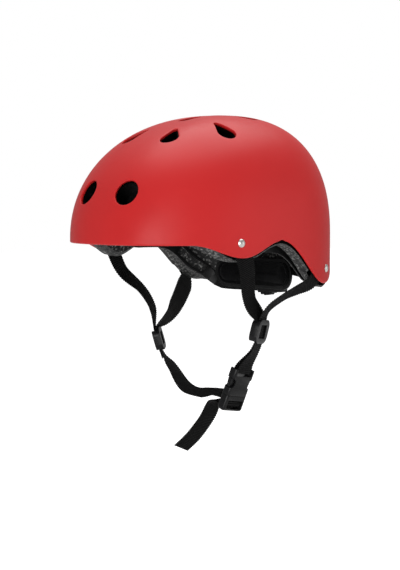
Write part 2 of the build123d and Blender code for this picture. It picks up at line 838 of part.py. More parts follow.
def prong(side):
    catch = window_end - buckle_clearance
    press = window_start + buckle_clearance
    outline = [
        (prong_inner, male_start + prong_root),
        (prong_outer, male_start + prong_root),
        (prong_outer, catch),
        (prong_outer + catch_height, catch),
        (prong_outer + press_height, press),
        (prong_outer, press),
        (prong_outer - prong_width / 2, prong_tip),
        (prong_inner, prong_tip),
    ]
    points = [Vector(side * x, 0, z) for x, z in outline]
    face = Face(Wire([Line(a, b) for a, b in zip(points, points[1:] + points[:1])]))
    return buckle_frame.location * extrude(face, amount=prong_depth / 2, dir=(0, 1, 0), both=True)


parts["buckle_female"] = female_half()
parts["buckle_male"] = male_half()
parts["prong_front"] = prong(-1)
parts["prong_back"] = prong(1)

# Comfort pads inside the liner, and the dots that hold them
parts["side_pad_left"] = wall_pad(0, side_pad_half_turn, side_pad_middle, side_pad_height)
parts["side_pad_right"] = wall_pad(180, side_pad_half_turn, side_pad_middle, side_pad_height)
parts["front_pad"] = wall_pad(-90, front_pad_half_turn, front_pad_middle, front_pad_height)
parts["rear_pad"] = wall_pad(90, rear_pad_half_turn, rear_pad_middle, rear_pad_height)
parts["crown_pad"] = cushion(crown_pad_point, pad_thickness)
dot_places = []
for turn, spread, height in (
    (0, side_pad_half_turn, side_pad_middle),
    (180, side_pad_half_turn, side_pad_middle),
    (-90, front_pad_half_turn, front_pad_middle),
    (90, rear_pad_half_turn, rear_pad_middle),
):
    dot_places += [(turn - spread / 2, height), (turn + spread / 2, height)]
dots = [dot(turn, height) for turn, height in dot_places]
dots += [crown_dot(side * crown_pad_length / 4) for side in (1, -1)]
parts["hook_dots"] = Compound(children=dots)


# Cradle: a curved plate behind the head with its pad, hung from the liner by one strap

cradle_axis = Pos(0, cradle_y - cradle_radius, cradle_z)


def cradle_shell(inner, thickness, height):
    return cradle_axis * (Cylinder(inner + thickness, height) - Cylinder(inner, height + overrun))


def stadium(width, height):
    outline = Plane(origin=(0, 0, cradle_z), x_dir=(1, 0, 0), z_dir=(0, -1, 0)) * SlotOverall(width, height)
    return extrude(outline, amount=cradle_y + overrun, both=True)


plate_outer = cradle_radius + cradle_thickness
plate_back = cradle_y + cradle_thickness
rear_half = Pos(0, cradle_y, cradle_z) * Box(cradle_width + overrun, cradle_y, cradle_height + overrun)
cradle_plate = cradle_shell(cradle_radius, cradle_thickness, cradle_height)
parts["cradle_plate"] = cradle_plate & stadium(cradle_width, cradle_height) & rear_half


def nape_pad_point(u, v, depth):
    angle = u * (cradle_width / 2 - nape_pad_margin) / cradle_radius
    radius = cradle_radius - running_gap - depth
    y = cradle_y - cradle_radius + radius * math.cos(angle)
    return Vector(radius * math.sin(angle), y, cradle_z + v * (cradle_height / 2 - nape_pad_margin))


parts["nape_pad"] = cushion(nape_pad_point, nape_pad_thickness)

liner_back = widest_y + rear_reach - liner_inset
hanger_y = plate_back + running_gap + hanger_thickness / 2
hanger_top = crown_height * rim_shares[-1][1] + hanger_rise
side_dir = Vector(1, 0, 0)
hanger_foot = Vector(0, hanger_y, cradle_z + cradle_height / 4)
hanger_knee = Vector(0, hanger_y, cradle_z + cradle_height / 2)
hanger_wall = Vector(0, liner_back - running_gap - hanger_thickness / 2, (hanger_knee.Z + hanger_top) / 2)
hanger_end = Vector(0, hanger_wall.Y, hanger_top)
hanger_up = Vector(0, 0, 1)
hanger = straight_ribbon(hanger_foot, hanger_knee, side_dir, hanger_width, hanger_thickness)
hanger_stops = [(hanger_knee, side_dir), (hanger_wall, side_dir)]
hanger += ribbon(hanger_stops, hanger_width, hanger_thickness, hanger_up, hanger_up)
hanger += straight_ribbon(hanger_wall, hanger_end, side_dir, hanger_width, hanger_thickness)


def button(frame, radius, length):
    head = Pos(0, 0, pin_head_height / 2) * Cylinder(radius, pin_head_height)
    head = fillet(head.edges().group_by(Axis.Z)[-1], pin_head_height / 2)
    stem = Pos(0, 0, -length / 2) * Cylinder(pin_radius, length)
    return frame.location * (head + stem)


button_z = (hanger_wall.Z + hanger_top) / 2
button_frame = Plane(
    origin=(0, hanger_wall.Y - hanger_thickness / 2 - running_gap / 2, button_z), z_dir=(0, -1, 0)
)
button_hole_depth = 2 * (pin_length + pin_head_height)
button_hole = button_frame.location * Cylinder(pin_radius + shaft_clearance, button_hole_depth)
parts["cradle_hanger"] = hanger - button_hole
parts["hanger_button"] = button(button_frame, hanger_width / 2, pin_length)
foam_liner -= button_hole

# Gear case on the plate, with its cover
gear_floor = plate_back + running_gap + case_wall
gear_room = gear_thickness + 2 * running_gap
cover_y = gear_floor + gear_room
gear_y = gear_floor + gear_room / 2
case_front = cradle_y - cradle_thickness * 2
case_length = cover_y - case_front
plate_relief = cradle_axis * Cylinder(plate_outer + running_gap, cradle_height + case_height)
gear_case = Pos(0, case_front + case_length / 2, dial_z) * Box(2 * case_half_width, case_length, case_height)
gear_case = fillet(gear_case.edges().filter_by(Axis.Y), case_wall)
inner_half = case_half_width - case_wall
inner_height = case_height - 2 * case_wall
gear_case -= Pos(0, gear_floor + overrun / 2, dial_z) * Box(2 * inner_half, overrun, inner_height)
gear_case -= plate_relief
rack_middle = gear_pitch_radius + dedendum + rack_back / 2
for side in (1, -1):
    slot = Box(overrun, rack_thickness + 2 * running_gap, rack_back + 2 * running_gap)
    gear_case -= Pos(side * case_half_width, gear_y, dial_z + side * rack_middle) * slot
cover = Pos(0, cover_y + cover_thickness / 2, dial_z) * Box(2 * case_half_width, cover_thickness, case_height)
cover = fillet(cover.edges().filter_by(Axis.Y), case_wall)
shaft_bore = Pos(0, cover_y, dial_z) * Rot(90, 0, 0) * Cylinder(shaft_radius + shaft_clearance, 2 * overrun)
parts["gear_case"] = gear_case
parts["case_cover"] = cover - shaft_bore

# Pinion on the dial's shaft, with a rack above it and one below it
tooth_pitch = 2 * math.pi * gear_pitch_radius / gear_teeth
gear_root = gear_pitch_radius - dedendum
gear_tip = gear_pitch_radius + addendum


def pinion_outline():
    outline = Circle(gear_root)
    root = gear_root - dedendum / 4
    for k in range(gear_teeth):
        tooth = Polygon(
            (-gear_root_half, root),
            (gear_root_half, root),
            (gear_tip_half, gear_tip),
            (-gear_tip_half, gear_tip),
            align=None,
        )
        outline += Rot(0, 0, 360 / gear_teeth * k) * tooth
    return outline


def rack_outline():
    back = gear_pitch_radius + dedendum
    length = rack_inner + rack_outer
    outline = Pos((rack_outer - rack_inner) / 2, rack_middle) * Rectangle(length, rack_back)
    travel = gear_pitch_radius * math.radians(dial_turn_angle)
    for k in range(-2, int(travel / tooth_pitch) + 2):
        x = (k + 1 / 2) * tooth_pitch
        tip = gear_pitch_radius - addendum
        outline += Pos(x, 0) * Polygon(
            (-rack_tip_half, tip), (rack_tip_half, tip), (rack_root_half, back), (-rack_root_half, back),
            align=None,
        )
    return outline


gear_plane = Plane(origin=(0, gear_y, dial_z), x_dir=(1, 0, 0), z_dir=(0, -1, 0))
pinion_gear = extrude(gear_plane * pinion_outline(), amount=gear_thickness / 2, both=True)
hub_reach = cover_y + cover_thickness + running_gap - gear_y
hub = Pos(0, gear_y + hub_reach / 2, dial_z) * Rot(90, 0, 0) * Cylinder(shaft_radius, hub_reach)
screw_bore = Pos(0, gear_y, dial_z) * Rot(90, 0, 0) * Cylinder(screw_radius, 4 * overrun)
parts["pinion"] = pinion_gear + hub - screw_bore
parts["rack_left"] = extrude(gear_plane * rack_outline(), amount=rack_thickness / 2, both=True)
parts["rack_right"] = extrude(
    gear_plane * (Rot(0, 0, 180) * rack_outline()), amount=rack_thickness / 2, both=True
)

# Dial knob with ridges round it, and the screw that holds it on the pinion
dial_y = gear_y + hub_reach
dial_frame = Plane(origin=(0, dial_y, dial_z), z_dir=(0, 1, 0))
knob = Pos(0, 0, dial_depth / 2) * Cylinder(dial_diameter / 2 - ridge_radius, dial_depth)
knob = fillet(knob.edges().group_by(Axis.Z)[-1], ridge_radius)
for k in range(dial_ridges):
    ridge_height = dial_depth - 2 * ridge_radius
    ridge = Pos(dial_diameter / 2 - ridge_radius, 0, ridge_height / 2) * Cylinder(ridge_radius, ridge_height)
    knob += Rot(0, 0, 360 / dial_ridges * k) * ridge
knob -= Cylinder(screw_radius, 2 * dial_depth)
knob -= Pos(0, 0, dial_depth) * Cylinder(screw_head_radius + running_gap, 2 * screw_head_height)
parts["dial_knob"] = dial_frame.location * knob
shank_length = dial_depth - screw_head_height + hub_reach + gear_thickness / 2
screw = Pos(0, 0, -shank_length / 2) * Cylinder(screw_radius - shaft_clearance, shank_length)
head = Pos(0, 0, screw_head_height / 2) * Cylinder(screw_head_radius, screw_head_height)
screw += head
for turn in (0, 90):
    screw -= Rot(0, 0, turn) * Pos(0, 0, screw_head_height) * Box(
        screw_head_radius, drive_slot_width, screw_head_height
    )
parts["dial_screw"] = dial_frame.location * (Pos(0, 0, dial_depth - screw_head_height) * screw)


# Headbands: from a lap on each rack, along the liner, to a pin at the temple

def band(side):
    lap_y = gear_y - rack_thickness / 2 - running_gap - band_thickness / 2
    lap_z = dial_z + side * rack_middle
    up = Vector(0, 0, 1)
    out = Vector(side, 0, 0)
    lap_start = Vector(side * (rack_outer - band_lap), lap_y, lap_z)
    lap_end = Vector(side * rack_outer, lap_y, lap_z)
    stops = [(lap_end, up)]
    for turn_share, level_share in zip(band_turn_shares, band_level_shares):
        inset = liner_inset + band_gap + band_thickness / 2
        point = dome_point(math.pi / 2 * turn_share, crown_height * level_share, inset, liner_drop)
        stops.append((Vector(side * point.X, point.Y, point.Z), up))
    lap = straight_ribbon(lap_start, lap_end, up, band_end_height, band_thickness)
    last = (stops[-1][0] - stops[-2][0]).normalized()
    return lap, stops, out, last


def tapered_ribbon(stops, first_tangent, last_tangent):
    path = Spline([centre for centre, across in stops], tangents=(first_tangent, last_tangent))
    grown = path.param_at_point(stops[2][0])
    sections = []
    for k in range(band_stations + 1):
        t = k / band_stations
        height = band_end_height + (band_height - band_end_height) * min(t / grown, 1)
        sections.append(cross_section(path @ t, path % t, Vector(0, 0, 1), height, band_thickness))
    return loft(sections, ruled=True)


for side, name in ((1, "left"), (-1, "right")):
    lap, stops, first, last = band(side)
    strip = lap + tapered_ribbon(stops, first, last)
    window_run = (stops[3][0] - stops[1][0]).normalized()
    window = ribbon(stops[1:4], band_window_height, band_thickness * 4, window_run, window_run)
    temple = stops[-1][0]
    face = last.cross(Vector(0, 0, 1)).normalized()
    face = face if face.X * side < 0 else face * -1
    pin_frame = Plane(
        origin=temple - last * band_height / 2 + face * (band_thickness / 2 + running_gap / 2), z_dir=face
    )
    pin_hole = pin_frame.location * Cylinder(pin_radius + shaft_clearance, 2 * (pin_length + pin_head_height))
    parts[f"headband_{name}"] = strip - window - pin_hole
    parts[f"temple_pin_{name}"] = button(pin_frame, pin_head_radius, pin_length)
    foam_liner -= pin_hole

parts["foam_liner"] = foam_liner

for name, solid in parts.items():
    export_step(solid, f"parts/{name}.step")
    print(name, round(solid.volume), solid.is_valid, len(solid.solids()))

# Where the moving pieces turn and slide, in millimetres
for name, spot, direction in (
    ("dial and pinion", gear_plane.origin, gear_plane.z_dir),
    ("release", buckle_frame.origin, buckle_frame.z_dir),
    ("left divider", slider_left_frame.origin, slider_left_frame.z_dir),
    ("right divider", slider_right_frame.origin, slider_right_frame.z_dir),
):
    print(name, spot, direction)
hinge_x = (prong_inner + prong_outer) / 2
for name, side in (("front prong", -1), ("back prong", 1)):
    spot = buckle_frame.origin + buckle_frame.x_dir * (side * hinge_x) + buckle_frame.z_dir * male_start
    print(name, spot, buckle_frame.y_dir * side)
print("rack travel", gear_pitch_radius * math.radians(dial_turn_angle))
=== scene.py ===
# %% [markdown]
# # Dressing a skateboard helmet
# The engineering model gives every solid its place, and this script gives each one its looks.
# Rigid plastic and metal keep their solids and get softened edges and a finish. The dome, the foam,
# the webbing and the pads are rebuilt as finer meshes from the same formulas and route points.
# Everything is in metres. +X is the wearer's left, +Y the back and +Z up.

# %% Load the frame
import math
import bmesh
import bpy
import numpy as np
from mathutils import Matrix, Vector
from mathutils.geometry import delaunay_2d_cdt


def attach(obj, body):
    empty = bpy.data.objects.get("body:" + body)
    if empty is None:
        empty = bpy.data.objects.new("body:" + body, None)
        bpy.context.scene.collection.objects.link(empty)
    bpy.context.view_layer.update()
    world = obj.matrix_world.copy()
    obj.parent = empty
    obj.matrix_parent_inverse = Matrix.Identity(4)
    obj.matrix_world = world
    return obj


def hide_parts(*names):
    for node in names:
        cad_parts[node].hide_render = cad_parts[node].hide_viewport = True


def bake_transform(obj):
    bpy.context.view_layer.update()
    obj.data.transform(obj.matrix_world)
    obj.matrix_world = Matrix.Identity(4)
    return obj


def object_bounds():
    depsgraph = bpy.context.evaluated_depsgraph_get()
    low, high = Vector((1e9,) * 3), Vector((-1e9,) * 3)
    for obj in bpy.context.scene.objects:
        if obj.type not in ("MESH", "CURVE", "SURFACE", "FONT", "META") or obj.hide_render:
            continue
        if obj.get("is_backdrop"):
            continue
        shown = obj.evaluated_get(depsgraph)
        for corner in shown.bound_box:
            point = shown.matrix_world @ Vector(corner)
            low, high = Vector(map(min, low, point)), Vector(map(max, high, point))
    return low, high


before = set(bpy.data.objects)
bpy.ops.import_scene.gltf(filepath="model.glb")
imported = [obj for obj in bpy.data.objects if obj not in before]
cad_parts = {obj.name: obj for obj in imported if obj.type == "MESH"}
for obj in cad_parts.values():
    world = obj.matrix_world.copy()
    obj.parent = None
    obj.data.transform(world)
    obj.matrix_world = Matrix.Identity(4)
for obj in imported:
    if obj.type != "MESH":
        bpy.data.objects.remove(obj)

cad_low, cad_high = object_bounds()
print("nodes", len(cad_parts), "from", cad_low, "to", cad_high)

# %% [markdown]
# ## Camera
# The helmet is seen from its front left, with the eye almost level with the rim. A long lens keeps
# the dome from bulging. The line of sight is written as a turn and a rise, which are easy to read
# and to change. The eye stands a little off the line through the middle, which frames the helmet
# without any shift of the lens.

# %% Camera
camera_turn = math.radians(46.6)
camera_rise = math.radians(3.8)
eye_point = (1.0767, -1.0162, 0.0524)
image_long_side = 570
focal_pixels = 1537.5
back = Vector((
    math.sin(camera_turn) * math.cos(camera_rise),
    -math.cos(camera_turn) * math.cos(camera_rise),
    math.sin(camera_rise),
))
camera_data = bpy.data.cameras.new("camera")
camera_data.sensor_width = 36
camera_data.lens = focal_pixels / image_long_side * camera_data.sensor_width
camera_data.clip_start = 0.05
camera = bpy.data.objects.new("camera", camera_data)
bpy.context.scene.collection.objects.link(camera)
camera.location = eye_point
camera.rotation_mode = "QUATERNION"
camera.rotation_quaternion = (-back).to_track_quat("-Z", "Y")
bpy.context.scene.camera = camera
bpy.context.scene.view_settings.view_transform = "Standard"
print("lens", round(camera_data.lens, 2))

# %% [markdown]
# ## Shader helpers
# A finish is a principled shader with a few texture nodes in front of it. Constant numbers go on
# the shader's own sockets. The helpers below keep each finish short enough to read at a glance.


# %% Shader helpers
def finish_of(name, color, roughness, metallic=0.0, specular=0.5):
    material = bpy.data.materials.new(name)
    material.use_nodes = True
    shader = material.node_tree.nodes["Principled BSDF"]
    shader.inputs["Base Color"].default_value = (*color, 1)
    shader.inputs["Roughness"].default_value = roughness
    shader.inputs["Metallic"].default_value = metallic
    shader.inputs["Specular IOR Level"].default_value = specular
    print("finish", name)
    return material, material.node_tree, shader


def node(tree, kind, **values):
    made = tree.nodes.new(kind)
    for key, value in values.items():
        if key in made.inputs:
            made.inputs[key].default_value = value
        else:
            setattr(made, key, value)
    return made


def link(tree, source, target):
    tree.links.new(source, target)


def object_place(tree):
    return node(tree, "ShaderNodeTexCoord").outputs["Object"]


# %% Ramps, mixing and relief
def grey(value):
    return (value,) * 3


def ramp_of(tree, source, stops):
    ramp = node(tree, "ShaderNodeValToRGB")
    link(tree, source, ramp.inputs["Fac"])
    elements = ramp.color_ramp.elements
    while len(elements) < len(stops):
        elements.new(0.5)
    for element, (position, color) in zip(elements, stops):
        element.position = position
        element.color = (*color, 1)
    return ramp.outputs["Color"]


def multiplied(tree, one, two):
    mix = node(tree, "ShaderNodeMix", data_type="RGBA", blend_type="MULTIPLY")
    mix.inputs["Factor"].default_value = 1.0
    link(tree, one, mix.inputs["A"])
    link(tree, two, mix.inputs["B"])
    return mix.outputs["Result"]


def relief(tree, shader, source, depth, strength, after=None):
    bump = node(tree, "ShaderNodeBump")
    bump.inputs["Strength"].default_value = strength
    bump.inputs["Distance"].default_value = depth
    link(tree, source, bump.inputs["Height"])
    if after is not None:
        link(tree, after, bump.inputs["Normal"])
    link(tree, bump.outputs["Normal"], shader.inputs["Normal"])
    return bump.outputs["Normal"]


def noise_of(tree, place, scale, detail, roughness=0.5):
    made = node(tree, "ShaderNodeTexNoise", Scale=scale, Detail=detail, Roughness=roughness)
    link(tree, place, made.inputs["Vector"])
    return made.outputs["Fac"]


def wander(tree, place, scale, detail, stops, target):
    link(tree, ramp_of(tree, noise_of(tree, place, scale, detail), stops), target)


# %% [markdown]
# ## Studio
# The product stands in plain soft light over a pale floor, with nothing behind it. Four soft boxes
# and an even sky light it. Stronger lamps could bleach the background too, but they would wash out
# the shell, so the white comes from the camera's own view of floor and sky. Seen from below, the
# floor is clear, so that the underside can be looked at too.

# %% Floor
floor_level, floor_reach = -0.345, 6.0
floor_glow = 0.8
floor_mesh = bpy.data.meshes.new("floor")
floor_corners = ((-1, -1), (1, -1), (1, 1), (-1, 1))
floor_mesh.from_pydata(
    [(x * floor_reach, y * floor_reach, floor_level) for x, y in floor_corners], [], [(0, 1, 2, 3)]
)
floor = bpy.data.objects.new("floor", floor_mesh)
bpy.context.scene.collection.objects.link(floor)
floor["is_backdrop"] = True
floor_finish, tree, shader = finish_of("floor_paper", grey(0.86), 0.9, specular=0.1)
paper = shader.outputs["BSDF"]
seen = node(tree, "ShaderNodeLightPath")
glow = node(tree, "ShaderNodeEmission", Strength=floor_glow)
both = node(tree, "ShaderNodeAddShader")
link(tree, paper, both.inputs[0])
link(tree, glow.outputs["Emission"], both.inputs[1])
pick = node(tree, "ShaderNodeMixShader")
link(tree, seen.outputs["Is Camera Ray"], pick.inputs["Fac"])
link(tree, paper, pick.inputs[1])
link(tree, both.outputs["Shader"], pick.inputs[2])
clear = node(tree, "ShaderNodeBsdfTransparent")
from_below = node(tree, "ShaderNodeMixShader")
under = node(tree, "ShaderNodeNewGeometry").outputs["Backfacing"]
link(tree, under, from_below.inputs["Fac"])
link(tree, pick.outputs["Shader"], from_below.inputs[1])
link(tree, clear.outputs["BSDF"], from_below.inputs[2])
link(tree, from_below.outputs["Shader"], tree.nodes["Material Output"].inputs["Surface"])
floor_mesh.materials.append(floor_finish)

# %% Sky
sky_strength = 0.37
world = bpy.data.worlds.new("studio")
bpy.context.scene.world = world
world.use_nodes = True
tree = world.node_tree
sky = tree.nodes["Background"]
sky.inputs["Color"].default_value = (1, 1, 1, 1)
sky.inputs["Strength"].default_value = sky_strength
plain = node(tree, "ShaderNodeBackground", Strength=1.0)
plain.inputs["Color"].default_value = (1, 1, 1, 1)
seen = node(tree, "ShaderNodeLightPath")
pick = node(tree, "ShaderNodeMixShader")
link(tree, seen.outputs["Is Camera Ray"], pick.inputs["Fac"])
link(tree, sky.outputs["Background"], pick.inputs[1])
link(tree, plain.outputs["Background"], pick.inputs[2])
link(tree, pick.outputs["Shader"], tree.nodes["World Output"].inputs["Surface"])
print("floor at", floor_level, "sky at", sky_strength)


# %% Soft boxes
def soft_box(name, place, target, size, watts):
    data = bpy.data.lights.new(name, "AREA")
    data.shape = "DISK"
    data.size = size
    data.energy = watts
    lamp = bpy.data.objects.new(name, data)
    bpy.context.scene.collection.objects.link(lamp)
    lamp.location = place
    lamp.rotation_mode = "QUATERNION"
    lamp.rotation_quaternion = (Vector(target) - Vector(place)).to_track_quat("-Z", "Y")


soft_box("top_box", (-0.15, 0.3, 1.3), target=(0, 0, 0.05), size=1.6, watts=16.5)
soft_box("front_box", (1.2, -1.4, 0.1), target=(0, 0, -0.02), size=1.6, watts=9.5)
soft_box("low_box", (0.7, -1.25, -0.3), target=(0, 0, 0), size=1.0, watts=10)
soft_box("side_box", (1.3, 0.8, 0.0), target=(0, 0, 0), size=1.4, watts=3)
print("lights", len(bpy.data.lights))

# %% [markdown]
# ## The dome as a flat map
# The shell is a superellipse in plan with a superellipse of height over it. A flat disc is the
# handiest way to mesh it: direction on the disc is the turn round the head, and distance from the
# middle runs from the crown, over the wall line at 1, down to the rim. Holes and rim are then plain
# flat outlines.

# %% Dome values
half_width = 0.100
front_reach = 0.157
rear_reach = 0.101
crown_height = 0.1175
widest_y = (front_reach - rear_reach) / 2
plan_power = 2.5
front_power = 2.0
side_power = 2.43
rear_power = 2.5
shell_wall = 0.0028
map_scale = 0.15


# %% Dome formulas
def reach_at(sine, inset):
    return np.where(sine < 0, front_reach, rear_reach) - inset


def plan_norm(across, along):
    return (np.abs(across) ** plan_power + np.abs(along) ** plan_power) ** (1 / plan_power)


def plan_shares(x, y, inset):
    return x / (half_width - inset), (y - widest_y) / reach_at(y - widest_y, inset)


def power_at(turn):
    c = np.abs(np.cos(turn)) ** plan_power
    s = np.abs(np.sin(turn)) ** plan_power
    end = np.where(np.sin(turn) > 0, rear_power, front_power)
    return side_power + (end - side_power) * s / (c + s)


def skin(disc, inset, drop):
    turn = np.arctan2(disc[:, 1], disc[:, 0])
    share = np.hypot(disc[:, 0], disc[:, 1])
    lean = np.clip(share, 0, 1) * math.pi / 2
    power = power_at(turn)
    c, s = np.cos(turn), np.sin(turn)
    radius = np.sin(lean) ** (2 / power) / plan_norm(c, s)
    x = (half_width - inset) * radius * c
    y = widest_y + reach_at(s, inset) * radius * s
    height = (crown_height - drop) * np.clip(np.cos(lean), 0, 1) ** (2 / power)
    height = np.where(share > 1, (1 - share) * map_scale, height)
    return np.stack([x, y, height], axis=1)


def on_map(points, inset, drop):
    side, along = plan_shares(points[:, 0], points[:, 1], inset)
    turn = np.arctan2(along, side)
    height = np.clip(points[:, 2] / (crown_height - drop), 0, 1)
    share = np.arccos(height ** (power_at(turn) / 2)) / (math.pi / 2)
    share = np.where(points[:, 2] < 0, 1 - points[:, 2] / map_scale, share)
    return np.stack([share * np.cos(turn), share * np.sin(turn)], axis=1)


def outside(points, inset, drop):
    side, along = plan_shares(points[:, 0], points[:, 1], inset)
    power = power_at(np.arctan2(along, side))
    level = np.clip(points[:, 2], 0, None) / (crown_height - drop)
    return level ** power + plan_norm(side, along) ** power > 1


quarter = skin(np.array([[0, 0], [1, 0], [0, 1], [0, -1]]), 0, 0)
print("crown, side, back and front", quarter.round(4).tolist())

# %% [markdown]
# ## Rim line
# The rim is one wavy line: level at the brow, low at the temple, high over the ear and lowest
# behind it. It could be drawn point by point, but a few highs and lows with eased curves between
# them are quicker to match. The foam follows it, a little higher at the brow and lower elsewhere.

# %% Rim line
rim_shares = (
    (-1.0, -0.03), (-0.72, -0.03), (-0.389, -0.134),
    (-0.0955, -0.0085), (0.525, -0.37), (1.0, -0.18),
)
foam_drop_shares = (-0.5, -0.5, 1.0, 1.0, 1.0, 1.0)
rim_ease = 0.36
span_points = 60


def eased(t, first, second, third, fourth):
    u = 1 - t
    return u ** 3 * first + 3 * u ** 2 * t * second + 3 * u * t ** 2 * third + t ** 3 * fourth


rim_y, rim_z, rim_lift = [], [], []
spans = zip(rim_shares, rim_shares[1:], foam_drop_shares, foam_drop_shares[1:])
for (start_share, start_up), (end_share, end_up), start_drop, end_drop in spans:
    start_y = widest_y + float(reach_at(start_share, 0)) * start_share
    end_y = widest_y + float(reach_at(end_share, 0)) * end_share
    ease = rim_ease * (end_y - start_y)
    t = np.linspace(0, 1, span_points)
    level = eased(t, 1, 1, 0, 0)
    rim_y.append(eased(t, start_y, start_y + ease, end_y - ease, end_y))
    rim_z.append(crown_height * (level * start_up + (1 - level) * end_up))
    rim_lift.append(level * start_drop + (1 - level) * end_drop)
rim_y, rim_z, rim_lift = [np.concatenate(part) for part in (rim_y, rim_z, rim_lift)]


def rim_share(turn, inset, drop, foam_drop):
    c, s = np.cos(turn), np.sin(turn)
    radius = 1 / plan_norm(c, s)
    y = widest_y + reach_at(s, inset) * radius * s
    level = np.interp(y, rim_y, rim_z) - drop - foam_drop * np.interp(y, rim_y, rim_lift)
    return 1 - level / map_scale


print("rim runs from", round(float(rim_z.min()), 4), "to", round(float(rim_z.max()), 4))

# %% [markdown]
# ## Vents
# Eleven openings: four round ones at front and back, six drops on the crown and one slot at its
# top. They could be traced on the curved surface, but each is an outline in a flat plane, shone
# along an axis onto the dome. A core that moves straight out of the mould leaves the same shape.

# %% Vent values
vent_ring_y = -0.011
round_radius = 0.01225
round_turn = math.radians(18.6)
round_rise = math.radians(21)
round_x, round_z = 0.0286, 0.0457
drop_turns = (-62.0, -8.0, 60.0)
drop_inner, drop_outer = 0.041, 0.067
drop_radius, drop_tip = 0.009, 0.0022
slot_half, slot_radius = 0.013, 0.0065
loop_points, arc_points = 72, 50
halvings = 40


# %% Flat outlines
def even_loop(points, count):
    closed = np.vstack([points, points[:1]])
    run = np.concatenate([[0], np.cumsum(np.linalg.norm(np.diff(closed, axis=0), axis=1))])
    marks = np.linspace(0, run[-1], count, endpoint=False)
    return np.stack([np.interp(marks, run, closed[:, k]) for k in range(closed.shape[1])], axis=1)


def two_circles(gap, big, small):
    edge = math.acos(-(big - small) / gap)
    first = np.linspace(-edge, edge, arc_points)
    second = np.linspace(edge, 2 * math.pi - edge, arc_points)
    near = np.stack([gap / 2 + big * np.cos(first), big * np.sin(first)], axis=1)
    far = np.stack([-gap / 2 + small * np.cos(second), small * np.sin(second)], axis=1)
    return np.vstack([near, far])


def on_dome(point):
    high, low = crown_height, 0.0
    for _ in range(halvings):
        middle = (high + low) / 2
        if outside(np.array([[point.x, point.y, middle]]), 0, 0)[0]:
            high = middle
        else:
            low = middle
    return Vector((point.x, point.y, low))


def lay_out(flat, middle, x_axis, axis):
    x_axis, axis = Vector(x_axis).normalized(), Vector(axis).normalized()
    y_axis = axis.cross(x_axis)
    return np.array([middle + x_axis * a + y_axis * b for a, b in flat]), np.array(axis)


# %% Round, drop and slot vents
def round_vent(side, sign, grow):
    level = math.cos(round_rise)
    across, along = side * math.sin(round_turn), sign * math.cos(round_turn)
    axis = Vector((across * level, along * level, math.sin(round_rise)))
    lean = (1 - (round_z / crown_height) ** side_power) ** (1 / side_power)
    run = (lean ** plan_power - (round_x / half_width) ** plan_power) ** (1 / plan_power)
    reach = rear_reach if sign > 0 else front_reach
    middle = Vector((side * round_x, widest_y + sign * reach * run, round_z))
    turns = np.linspace(0, 2 * math.pi, loop_points, endpoint=False)
    flat = (round_radius + grow) * np.stack([np.cos(turns), np.sin(turns)], axis=1)
    return lay_out(flat, middle, Vector((0, 0, 1)).cross(axis), axis)


def drop_vent(side, turn_degrees, grow):
    turn = math.radians(turn_degrees)
    radial = Vector((side * math.cos(turn), math.sin(turn), 0))
    ends = [Vector((0, vent_ring_y, 0)) + radial * run for run in (drop_inner, drop_outer)]
    high, low, middle = [on_dome(point) for point in (*ends, (ends[0] + ends[1]) / 2)]
    down = (low - high).normalized()
    axis = down.cross(Vector((0, 0, 1)).cross(down).normalized())
    length = (low - high).length + 2 * grow
    big, small = drop_radius + grow, max(drop_tip + grow, drop_tip / 2)
    flat = even_loop(two_circles(length - big - small, big, small), loop_points)
    return lay_out(flat + [(small - big) / 2, 0], middle, down, axis)


def slot_vent(grow):
    radius = slot_radius + grow
    flat = even_loop(two_circles(2 * (slot_half - slot_radius), radius, radius), loop_points)
    return lay_out(flat, Vector((0, vent_ring_y, crown_height)), (0, 1, 0), (0, 0, 1))


def all_vents(grow):
    made = [slot_vent(grow)]
    for side in (1, -1):
        made += [round_vent(side, sign, grow) for sign in (-1, 1)]
        made += [drop_vent(side, turn, grow) for turn in drop_turns]
    return made


print("vents", len(all_vents(0)))

# %% [markdown]
# Where a straight line meets the dome has no handy formula. Each point of an outline is moved along
# the axis instead, and the span between a place inside and a place outside is halved until it is
# far finer than a grain of the plastic.

# %% Shining an outline onto a skin
shine_from, shine_to = -0.06, 0.03


def shine(points, axis, inset, drop):
    low = np.full(len(points), shine_from)
    high = np.full(len(points), shine_to)
    for _ in range(halvings):
        middle = (low + high) / 2
        out = outside(points + middle[:, None] * axis, inset, drop)
        high = np.where(out, middle, high)
        low = np.where(out, low, middle)
    return points + low[:, None] * axis


# %% [markdown]
# ## Meshing a skin with holes
# Boolean cuts leave ragged shading on a dome this smooth. Laying points in rings on the flat map
# and joining them by a constrained triangulation puts every edge of a hole exactly on its outline
# instead. The rings keep a little clear of holes and rim, so no triangle there is a sliver.

# %% Skin mesher
map_step, map_limit = 0.0105, 1.5
ring_twist = 0.37
rim_points = 720
rim_clear, hole_clear = 0.55 * map_step, 0.6 * map_step
merge_distance = 1e-9


def within(points, loop):
    found = np.zeros(len(points), bool)
    for (x0, y0), (x1, y1) in zip(loop, np.roll(loop, -1, axis=0)):
        if y0 == y1:
            continue
        crosses = (y0 > points[:, 1]) != (y1 > points[:, 1])
        found ^= crosses & (points[:, 0] < (x1 - x0) * (points[:, 1] - y0) / (y1 - y0) + x0)
    return found


def ring_of(turns):
    return np.stack([np.cos(turns), np.sin(turns)], axis=1)


